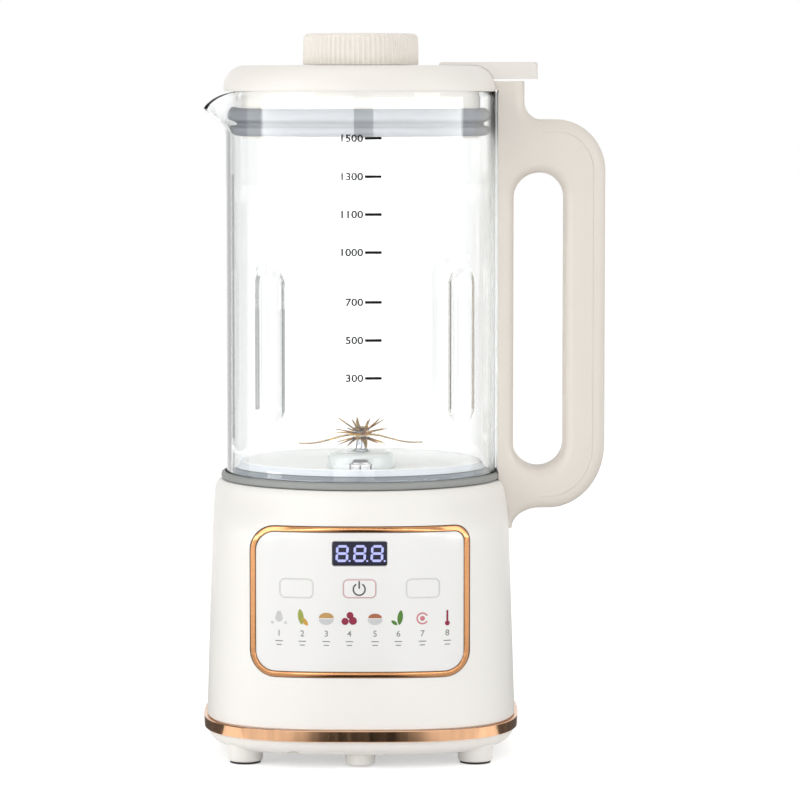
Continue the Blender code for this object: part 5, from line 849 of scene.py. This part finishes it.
# a dark disc on the probe's top and dark rods at its hex corners: painted dark reflections
topReflectionProfile = [(0, 135.95), (3.6, 135.95), (3.3, 136.5), (0, 136.5)]
addPiece("probeTopReflection", lathe(topReflectionProfile, 40, 0, probe["y"]), coreAndReflectionLook, "jug")
cornerReflectionProfile = [(0, 132.0), (0.42, 132.0), (0.42, 134.8), (0, 134.8)]
corners = [lathe(cornerReflectionProfile, 10, x, y) for x, y in hexPoints(probe["corner"] - 0.05)]
addPiece("probeCornerReflections", joined(corners), coreAndReflectionLook, "jug")
print("jug floor made")


# blade set

# spikes of the three stars: azimuth from the front, tip radius, tip height, half width, curl
blades = {
    "root": 3.2, "thick": 1.0, "hub": {"up": 3.6, "flat": 4.3, "down": 3.9},
    "middle": {"up": 148.7, "flat": 147.3, "down": 144.9}, "lift": {"up": 1.6, "flat": 1.2, "down": 1.5},
    "up": [(-61, 11.5, 152.9, 0.38, 1.0), (-11, 9.0, 153.2, 1.15, 1.7), (25, 7.6, 151.6, 1.0, 1.6),
           (49, 11.6, 153.0, 0.55, 1.1), (73, 11.5, 152.2, 0.34, 1.0), (112, 11.0, 151.2, 0.4, 1.0),
           (158, 11.2, 151.4, 0.6, 1.2), (204, 10.6, 151.0, 0.5, 1.1), (246, 11.6, 151.9, 0.4, 1.0)],
    "flat": [(-98, 12.4, 147.6, 0.45, 1.0), (-72, 12.2, 146.4, 0.45, 1.0), (-30, 11.0, 147.2, 0.6, 1.0),
             (12, 10.4, 147.0, 0.5, 1.0), (64, 11.8, 148.6, 0.45, 1.0), (94, 12.4, 147.9, 0.45, 1.0),
             (125, 12.0, 147.2, 0.5, 1.0), (170, 11.5, 148.0, 0.6, 1.0), (215, 12.0, 147.4, 0.5, 1.0)],
    "down": [(-63, 11.7, 140.6, 0.36, 1.0), (-36, 11.2, 140.0, 0.5, 1.1), (18, 8.6, 139.5, 1.2, 1.7),
             (47, 11.2, 141.4, 0.5, 1.0), (76, 11.6, 140.8, 0.36, 1.0), (118, 11.0, 141.0, 0.45, 1.0),
             (165, 10.8, 140.8, 0.6, 1.2), (220, 11.2, 140.9, 0.45, 1.0), (262, 11.4, 141.2, 0.4, 1.0)],
}


def spike(stations, turn):
    # stations: radius, height, half width, half thickness; each is reached by extruding the end face
    bm = bmesh.new()
    r, z, w, t = stations[0]
    verts = [bm.verts.new(spot) for spot in ((r, -w, z - t), (r, w, z - t), (r, w, z + t), (r, -w, z + t))]
    face = bm.faces.new(verts)
    for count, (r, z, w, t) in enumerate(stations[1:]):
        if count:
            grown = bmesh.ops.extrude_discrete_faces(bm, faces=[face])["faces"]
        else:
            made = bmesh.ops.extrude_face_region(bm, geom=[face], use_keep_orig=True)["geom"]
            grown = [part for part in made if isinstance(part, bmesh.types.BMFace)]
        face = grown[0]
        for vert in face.verts:
            sideY = 1 if vert.co.y > 0 else -1
            sideZ = 1 if vert.co.z > face.calc_center_median().z else -1
            vert.tag = sideZ > 0
            vert.co.y = sideY * w
        for vert in face.verts:
            vert.co.x = r
            vert.co.z = z + (t if vert.tag else -t)
    bmesh.ops.rotate(bm, verts=bm.verts[:], cent=(0, 0, 0), matrix=Matrix.Rotation(turn, 3, "Z"))
    return bm


def curvedStations(r0, z0, r1, z1, width, thick, curl):
    stations = []
    for i in range(9):
        share = i / 8
        r = r0 + (r1 - r0) * share ** (1 / curl)
        z = z0 + (z1 - z0) * share ** curl
        taper = 1 - share ** 2.2
        stations.append((r, z, width * (0.16 + 0.84 * taper), thick * (0.3 + 0.7 * taper)))
    return stations


def buildStar(name):
    middle = blades["middle"][name]
    half = blades["thick"] / 2
    rim = blades["hub"][name]
    washer = [(2.5, middle - half), (rim, middle - half), (rim + 0.25, middle), (rim, middle + half),
              (2.5, middle + half)]
    parts = [lathe(washer, 48)]
    for azimuth, tipR, tipZ, width, curl in blades[name]:
        thick = 0.34 if width < 0.8 else 0.75
        stations = curvedStations(blades["root"], middle, tipR, tipZ + blades["lift"][name], width, thick, curl)
        parts.append(spike(stations, math.radians(azimuth - 90)))
    return joined(parts)


for name in ("up", "flat", "down"):
    addPiece(name + "Star", buildStar(name), goldLook, "blade", ["star_blade_" + name], sharp=35)


def buildLongBlade():
    stations = [(2.4, 146.5, 2.9, 0.4), (5.5, 146.4, 2.7, 0.36), (9.0, 145.8, 2.4, 0.3),
                (14.0, 144.4, 2.1, 0.28), (19.0, 143.1, 1.9, 0.26), (22.5, 142.6, 1.7, 0.26),
                (26.0, 142.5, 1.5, 0.24), (29.0, 142.6, 0.8, 0.2)]
    return joined([spike(stations, 0.12), spike(stations, math.pi + 0.12)])


hubProfile = [(2.5, 146.0), (3.8, 146.0), (3.8, 146.7), (2.5, 146.7)]
ringProfile = [(4.0, 146.9), (4.9, 146.95), (5.3, 147.3), (4.9, 147.65), (4.0, 147.7)]
addPiece("hubRing", lathe(ringProfile, 64), hubLook, "blade")
addPiece("longBlade", joined([buildLongBlade(), lathe(hubProfile, 48)]), goldLook, "blade", ["long_blade"],
         sharp=50)
nutProfile = [(0, 150.2), (1.2, 150.2), (2.4, 150.0), (3.1, 149.7), (3.1, 149.2), (0, 149.2)]
addPiece("bladeNut", lathe(nutProfile, 48), goldLook, "blade", ["blade_nut"])
# the shaft's darker steel is painted shade and painted dark reflections
shaftProfile = [(0, 111.2), (2.2, 111.2), (2.2, 138.7), (3.3, 138.7), (3.3, 139.6), (2.5, 139.9),
                (2.2, 142.2), (2.2, 148.6), (0, 148.6)]
addPiece("bladeShaft", lathe(shaftProfile, 64), shadedShaftLook, "blade", ["blade_shaft"])
print("blades made")


# handle

# tail: x, z, drop; lug: x, low, high; groove: inner x, outer x, low, high; slot: the same
handle = {"half": 14.0, "edge": 4.6, "face": 63.2, "head": 61.0, "neck": 75.2, "top": 309.8,
          "neckZ": 300.5, "shoulder": (83.2, 292.2), "upper": (90.0, 268.5), "lower": (86.5, 143.0),
          "reach": 112.5, "lowerRise": 29.8, "cover": 5.6, "coverEnd": 83.0, "seam": 0.07, "hook": 305.6,
          "tail": (69.8, 103.9, 9.3), "tailInner": 62.5, "lug": (55.8, 108.0, 121.7),
          "groove": (55.5, 65.0, 126.3, 130.2), "slot": (70.4, 93.7, 131.5, 267.9),
          "litFace": ((62.85, -12.5, 131.0), (63.15, 12.5, 304.5))}


def gripCurve(offset):
    h = handle
    reach, rise = h["reach"] - offset, h["shoulder"][1] - offset
    upper = arcPoints(h["upper"], (reach - h["upper"][0], rise - h["upper"][1]), 90, 0, 24)
    lower = arcPoints(h["lower"], (reach - h["lower"][0], h["lowerRise"] - offset), 0, -90, 24)
    return [(h["shoulder"][0], rise)] + upper + lower + [(h["coverEnd"], lower[-1][1])]


def bevelWhere(bm, test, width, steps, clamp=True):
    picked = [edge for edge in bm.edges if len(edge.link_faces) == 2 and test(edge)]
    bmesh.ops.bevel(bm, geom=picked, offset=width, offset_type="OFFSET", segments=steps, profile=0.5,
                    affect="EDGES", material=-1, clamp_overlap=clamp)


def onSide(edge, half):
    return abs(edge.verts[0].co.y - edge.verts[1].co.y) < 0.01 and abs(abs(edge.verts[0].co.y) - half) < 0.01


def nearCurve(edge, curve, reach=0.5):
    middle = (edge.verts[0].co + edge.verts[1].co) / 2
    return any(math.hypot(middle.x - (a[0] + b[0]) / 2, middle.z - (a[1] + b[1]) / 2) < reach + math.dist(a, b) / 2
               and distToLine(middle, a, b) < 0.05 for a, b in zip(curve, curve[1:]))


def distToLine(spot, a, b):
    length = math.dist(a, b)
    return abs((b[0] - a[0]) * (a[1] - spot.z) - (a[0] - spot.x) * (b[1] - a[1])) / max(length, 0.0001)


def slotCutter():
    # the finger slot, flared at both sides so that it ends in a soft roll
    inner, outer, low, high = handle["slot"]
    radius, roll = (outer - inner) / 2, handle["edge"]
    middle = inner + radius
    line = arcPoints((middle, high - radius), (radius, radius), 0, 180, 24)
    line += arcPoints((middle, low + radius), (radius, radius), 180, 360, 24)
    straight = handle["half"] - roll
    bm = slab(line, -straight, straight)
    for side in (-1, 1):
        face = [f for f in bm.faces if all(abs(v.co.y - side * straight) < 0.01 for v in f.verts)][0]
        stations = [math.pi / 2 * i / 8 for i in range(1, 9)]
        depths = [(roll * (1 - math.cos(a)), straight + roll * math.sin(a)) for a in stations]
        for grow, depth in depths + [(roll, straight + roll + 4)]:
            face = bmesh.ops.extrude_discrete_faces(bm, faces=[face])["faces"][0]
            for vert in face.verts:
                centre = Vector((middle, 0, min(max(vert.co.z, low + radius), high - radius)))
                away = Vector((vert.co.x - middle, 0, vert.co.z - centre.z)).normalized()
                vert.co = centre + away * (radius + grow) + Vector((0, side * depth, 0))
    return bm


def buildHandle():
    h = handle
    seam = gripCurve(h["cover"] + h["seam"])
    (shoulderX, shoulderZ), (tailX, tailZ, tailDrop), (lugX, lugLow, lugHigh) = h["shoulder"], h["tail"], h["lug"]
    outline = [(h["head"], h["top"]), (h["neck"], h["top"])]
    outline += arcPoints((shoulderX, h["neckZ"]), (shoulderX - h["neck"], h["neckZ"] - shoulderZ), 180, 270, 16)
    outline += seam + arcPoints((h["coverEnd"], tailZ), (h["coverEnd"] - tailX, tailDrop), 90, 180, 16)
    outline += [(h["tailInner"], tailZ), (lugX, lugLow), (lugX, lugHigh), (h["face"], lugHigh),
                (h["face"], h["hook"]), (h["head"], h["hook"])]
    bm = slab(outline, -h["half"], h["half"])

    def rolled(edge):
        # neck and tail are rolled before the slot is cut; the step at the cover's ends stays sharp
        spots = [vert.co.x for vert in edge.verts]
        return (onSide(edge, h["half"]) and edge.calc_face_angle(0) > 1.0 and min(spots) > 64
                and min(spots) <= h["coverEnd"] - 0.1 and not nearCurve(edge, seam))

    bevelWhere(bm, rolled, h["edge"], 6, False)
    grooveIn, grooveOut, grooveLow, grooveHigh = h["groove"]
    groove = [(grooveIn, grooveLow), (grooveOut, grooveLow), (grooveOut, grooveHigh), (grooveIn, grooveHigh)]
    bm = carve(bm, [slotCutter(), lathe(groove, 96)])
    bmesh.ops.dissolve_limit(bm, angle_limit=math.radians(0.5), verts=bm.verts[:], edges=bm.edges[:])
    return bm


addPiece("handleBody", buildHandle(), gripLook, "jug", ["handle_body"], sharp=32)
# a pale sheet on the handle's inner face, painted light where the lid and seal shade it
addPiece("handleLitSheet", block(*handle["litFace"]), litSheetLook, "jug")


def buildGrip():
    outer = gripCurve(0)
    bm = slab(outer + list(reversed(gripCurve(handle["cover"]))), -handle["half"], handle["half"])
    bevelWhere(bm, lambda edge: onSide(edge, handle["half"]) and nearCurve(edge, outer), handle["edge"], 5)
    return bm


addPiece("gripCover", buildGrip(), gripLook, "jug", ["handle_grip_cover"], sharp=32)
print("handle made")


# lid

lid = {"radius": 63.3, "low": 305.6, "high": 316.9, "edge": (9.4, 10.6), "wall": 2.2, "flat": 60.6,
       "feed": 21.3, "feedEdge": 0.4, "lip": 305.1, "innerTop": 314.7}


def lidEdge(start, end, grow, steps):
    # the lid's rounded shoulder, or a curve that runs beside it
    wide, tall = lid["edge"]
    return arcPoints((lid["radius"] - wide, lid["high"] - tall), (wide + grow, tall + grow), start, end, steps)


def buildLid():
    feed, soft, low, lip = lid["feed"], lid["feedEdge"], lid["low"], lid["lip"]
    profile = [(feed, lid["high"] - soft), (feed + soft, lid["high"])] + lidEdge(90, 0, 0, 20)
    profile += [(63.2, lip + 0.25), (63.0, lip), (62.65, lip), (62.6, low), (61.1, low)]
    profile += lidEdge(0, 90, -lid["wall"], 10) + [(feed, lid["innerTop"])]
    return carve(lathe(profile, 224), [block((lid["flat"], -14.5, 300), (70, 14.5, 322))])


addPiece("lidShell", buildLid(), lidLook, "lid", ["lid_shell"], sharp=40)

plugProfile = [(60.4, 305.6), (60.4, 307.6), (53.0, 307.6), (53.0, 285.7), (23.3, 285.7), (23.3, 314.4),
               (21.3, 314.4), (21.3, 284.2), (21.8, 283.7), (54.2, 283.7), (55.0, 284.5), (55.0, 305.6)]
addPiece("lidPlug", lathe(plugProfile, 176), plugLook, "lid", ["lid_plug"], sharp=40)

sealProfile = [(55.3, 297.4), (57.0, 297.4), (58.4, 296.8), (59.4, 295.4), (59.9, 293.8), (59.9, 292.6),
               (59.3, 291.8), (57.6, 291.2), (56.7, 290.6), (56.6, 289.9), (57.2, 289.3), (58.9, 289.1),
               (59.6, 288.6), (59.9, 287.8), (59.9, 287.0), (59.4, 285.9), (58.3, 285.1), (57.0, 284.8),
               (55.3, 284.8)]
addPiece("lidSeal", lathe(sealProfile, 200), sealLook, "lid", ["lid_seal"], sharp=60)

tongue = {"low": (36.3, -14.0, 310.7), "high": (81.2, 14.0, 318.5), "corner": 3.0, "edge": 1.0, "gap": 0.12}


def buildTongue():
    bm = block(tongue["low"], tongue["high"])
    end, top, gap = tongue["high"][0] - 0.2, tongue["high"][2] - 0.1, tongue["gap"]
    bevelWhere(bm, lambda edge: all(v.co.x > end for v in edge.verts)
               and abs(edge.verts[0].co.z - edge.verts[1].co.z) > 1, tongue["corner"], 6)
    bevelWhere(bm, lambda edge: all(v.co.z > top for v in edge.verts), tongue["edge"], 4)
    # the room of the lid, which is cut flat under the tongue
    room = [(0, 300), (lid["radius"] + gap, 300)] + lidEdge(0, 90, gap, 24) + [(0, lid["high"] + gap)]
    return carve(bm, [carve(lathe(room, 224), [block((lid["flat"] + 0.1, -20, 290), (80, 20, 330))])])


# the tongue's darker plastic is painted shade
addPiece("lidTongue", buildTongue(), shadedTabLook, "lid", ["lid_tongue"], sharp=36)

cap = {"sides": [(26.3, 317.2), (26.6, 317.6), (26.6, 322), (26.5, 326), (26.4, 327.6), (26.35, 328.9)],
       "flat": 23.75, "edgeZ": 329.0, "edge": 2.6, "ribs": 71, "depth": 0.6, "perRib": 12,
       "hollow": [(0, 315), (23.5, 315), (23.5, 329.2), (0, 329.2)]}


def capLevel(radius, z, ribShare):
    def point(angle):
        ridge = (0.5 + 0.5 * math.cos(angle * cap["ribs"])) ** 2
        reach = radius - cap["depth"] * ribShare * (1 - ridge)
        return (reach * math.cos(angle), reach * math.sin(angle), z)
    return point


def buildCap():
    levels = [capLevel(radius, z, 1) for radius, z in cap["sides"]]
    for i in range(1, 8):  # the ribs fade out over the rounded edge
        up, out = math.sin(math.pi / 2 * i / 7), math.cos(math.pi / 2 * i / 7)
        levels.append(capLevel(cap["flat"] + cap["edge"] * out, cap["edgeZ"] + cap["edge"] * up, 1 - up ** 2))
    levels += [capLevel(12, cap["edgeZ"] + cap["edge"], 0)]
    bm = loft(levels, cap["ribs"] * cap["perRib"], closed=False)
    return carve(bm, [lathe(cap["hollow"], 96)])

addPiece("feedKnob", buildCap(), knobLook, "cap", ["feed_cap"], sharp=50)
print("lid made")


# floor, light and camera

stageSet = {
    "wall": 1.0, "ambient": 0.62, "floorGlow": 0.47, "brightLevel": 6.4, "greyLevel": 0.31,
    # walls bent round the jug: radius, first and last azimuth from the front, low, high
    "brightWallLeft": (1.7, -91.5, -5.2, 0.2, 0.37), "brightWallRight": (1.7, 11, 96, 0.2, 0.37),
    "greyWall": (1.2, -165.2, -147.8, 0.004, 0.34), "fluteWall": (1.19, -165.2, -147.8, 0.04, 0.24),
    # lamps: place, aim, size, power
    "lamps": {
        "leftBox": ((-1.7, -1.3, 1.0), (0, 0, 0.15), (1.1, 1.5), 14.0),
        "leftLow": ((-1.9, -0.35, 0.3), (0, 0, 0.2), (0.5, 0.4), 3.2),
        "rightBox": ((1.8, -1.1, 1.0), (0, 0, 0.17), (1.0, 1.4), 10.0),
        "topBox": ((0, -0.2, 2.1), (0, 0, 0.2), (1.6, 1.6), 4.1),
        "lowBox": ((-0.2, -1.9, 0.16), (0, 0, 0.05), (1.2, 0.3), 2.7),
    },
}


def asCard(item, inGloss=True, throughGlass=True):
    # cards show in reflections and through glass only
    item.visible_camera = item.visible_diffuse = item.visible_shadow = item.visible_volume_scatter = False
    item.visible_glossy = inGloss
    item.visible_transmission = throughGlass


def stagePlane(name, size, place, turn, look):
    bm = bmesh.new()
    bmesh.ops.create_grid(bm, x_segments=1, y_segments=1, size=0.5)
    bmesh.ops.scale(bm, vec=(size[0], size[1], 1), verts=bm.verts[:])
    for angle, axis in zip(turn, "XZ"):
        bmesh.ops.rotate(bm, verts=bm.verts[:], cent=(0, 0, 0), matrix=Matrix.Rotation(angle, 3, axis))
    bmesh.ops.translate(bm, verts=bm.verts[:], vec=place)
    item = placeObject(name, bm, look)
    return item


def curvedCard(name, look, inGloss=True):
    radius, start, end, low, high = stageSet[name]
    bm = bmesh.new()
    rails = []
    for i in range(25):
        azimuth = math.radians(start + (end - start) * i / 24)
        x, y = jugX * mm + radius * math.sin(azimuth), -radius * math.cos(azimuth)
        rails.append([bm.verts.new((x, y, low)), bm.verts.new((x, y, high))])
    for near, far in zip(rails, rails[1:]):
        bm.faces.new((near[0], far[0], far[1], near[1]))
    item = placeObject(name, bm, look)
    asCard(item, inGloss)


def mathNode(nodes, links, operation, first, second):
    node = nodes.new("ShaderNodeMath")
    node.operation = operation
    for source, socket in zip((first, second), node.inputs):
        if isinstance(source, (int, float)):
            socket.default_value = source
        else:
            links.new(source, socket)
    return node.outputs[0]


def seenRays(nodes, links):
    # 1 where the eye looks, directly, through glass or in a mirror
    rays = nodes.new("ShaderNodeLightPath").outputs
    direct = mathNode(nodes, links, "MAXIMUM", rays["Is Camera Ray"], rays["Is Transmission Ray"])
    return mathNode(nodes, links, "MAXIMUM", direct, rays["Is Glossy Ray"])


def makeFloorLook():
    look, nodes, links, shader, spot = startLook("paleFloor")
    fillSockets(shader, {"Base Color": (0.86, 0.86, 0.86, 1), "Roughness": 0.7})
    glow = nodes.new("ShaderNodeEmission")
    lift = mathNode(nodes, links, "MULTIPLY", seenRays(nodes, links), stageSet["floorGlow"])
    links.new(lift, glow.inputs["Strength"])
    both = nodes.new("ShaderNodeAddShader")
    links.new(shader.outputs[0], both.inputs[0])
    links.new(glow.outputs[0], both.inputs[1])
    links.new(both.outputs[0], nodes["Material Output"].inputs["Surface"])
    return look


def cardLook(name, level, fade=None, strength=1.0, wallOnly=False):
    # a plain studio card; fade takes it from dark in its middle to white at its sides
    look, nodes, links, shader, spot = startLook(name)
    glow = nodes.new("ShaderNodeEmission")
    fillSockets(glow, {"Color": (level, level, level, 1), "Strength": strength})
    surface = glow.outputs[0]
    if fade:
        near, far, centre = fade
        parted = nodes.new("ShaderNodeSeparateXYZ")
        links.new(spot.outputs["Object"], parted.inputs["Vector"])
        away = mathNode(nodes, links, "SUBTRACT", parted.outputs["X"], centre)
        ramp = nodes.new("ShaderNodeMapRange")
        ramp.interpolation_type = "SMOOTHSTEP"
        fillSockets(ramp, {"From Min": near, "From Max": far, "To Min": level, "To Max": 1.0})
        links.new(mathNode(nodes, links, "ABSOLUTE", away, 0), ramp.inputs["Value"])
        links.new(ramp.outputs["Result"], glow.inputs["Color"])
    if wallOnly:
        # grey for what the glass wall itself turns aside, clear for what goes straight through the jug
        clear = nodes.new("ShaderNodeBsdfTransparent")
        depth = nodes.new("ShaderNodeLightPath").outputs["Transmission Depth"]
        surface = mixShaders(nodes, links, mathNode(nodes, links, "GREATER_THAN", depth, 2.5), glow, clear)
    links.new(surface, nodes["Material Output"].inputs["Surface"])
    return look


stagePlane("studioFloor", (14, 14), (0, 3, 0), (0, 0), makeFloorLook())
asCard(stagePlane("frontCard", (2.4, 3.2), (jugX * mm, -2.6, 0.9), (math.pi / 2, 0),
                  cardLook("frontCardLook", 0.04, (0.16, 0.75, 0))))
for name, side, level in (("sideCardLeft", -1, 0.2), ("sideCardRight", 1, 0.8)):
    asCard(stagePlane(name, (0.9, 2.6), (side * 1.25, 0.95, 0.9), (math.pi / 2, side * math.radians(-52)),
                      cardLook(name + "Look", level)))
brightLook = cardLook("brightWallLook", 1.0, strength=stageSet["brightLevel"])
curvedCard("brightWallLeft", brightLook)
curvedCard("brightWallRight", brightLook)
curvedCard("greyWall", cardLook("greyWallLook", stageSet["greyLevel"], wallOnly=True), False)
curvedCard("fluteWall", cardLook("fluteWallLook", stageSet["greyLevel"]), False)
# dark cards on the floor, for the band and the copper frame
asCard(stagePlane("bandCard", (0.9, 1.1), (-0.0158, -0.635, 0.0006), (0, 0),
                  cardLook("bandCardLook", 0.03, (0.020, 0.085, -0.0158))), throughGlass=False)
for name, side in (("lowCardLeft", -1), ("lowCardRight", 1)):
    asCard(stagePlane(name, (0.42, 0.62), (jugX * mm + side * 0.30, 0.29, 0.0006), (0, 0),
                      cardLook(name + "Look", 0.12)), throughGlass=False)

for name, (place, aim, size, power) in stageSet["lamps"].items():
    data = bpy.data.lights.new(name, "AREA")
    data.shape = "RECTANGLE"
    data.size, data.size_y = size
    data.energy = power
    lamp = bpy.data.objects.new(name, data)
    lamp.location = place
    lamp.rotation_euler = (Vector(aim) - Vector(place)).to_track_quat("-Z", "Y").to_euler()
    bpy.context.scene.collection.objects.link(lamp)

world = bpy.data.worlds.new("studioWorld")
bpy.context.scene.world = world
world.use_nodes = True
nodes, links = world.node_tree.nodes, world.node_tree.links
nodes.clear()
surround, backdrop = nodes.new("ShaderNodeBackground"), nodes.new("ShaderNodeBackground")
fillSockets(surround, {"Color": (1, 1, 1, 1), "Strength": stageSet["ambient"]})
fillSockets(backdrop, {"Color": (1, 1, 1, 1), "Strength": stageSet["wall"]})
worldOut = nodes.new("ShaderNodeOutputWorld")
links.new(mixShaders(nodes, links, seenRays(nodes, links), surround, backdrop), worldOut.inputs["Surface"])

view = {"place": (-0.00165, -1.860, 0.310), "tilt": 85.46, "lens": 181}
cameraData = bpy.data.cameras.new("camera")
cameraData.lens = view["lens"]
cameraData.sensor_width = 36
cameraData.clip_end = 60
camera = bpy.data.objects.new("camera", cameraData)
camera.location = view["place"]
camera.rotation_euler = (math.radians(view["tilt"]), 0, 0)
bpy.context.scene.collection.objects.link(camera)
bpy.context.scene.camera = camera
bpy.context.scene.view_settings.view_transform = "Standard"
print("stage made")
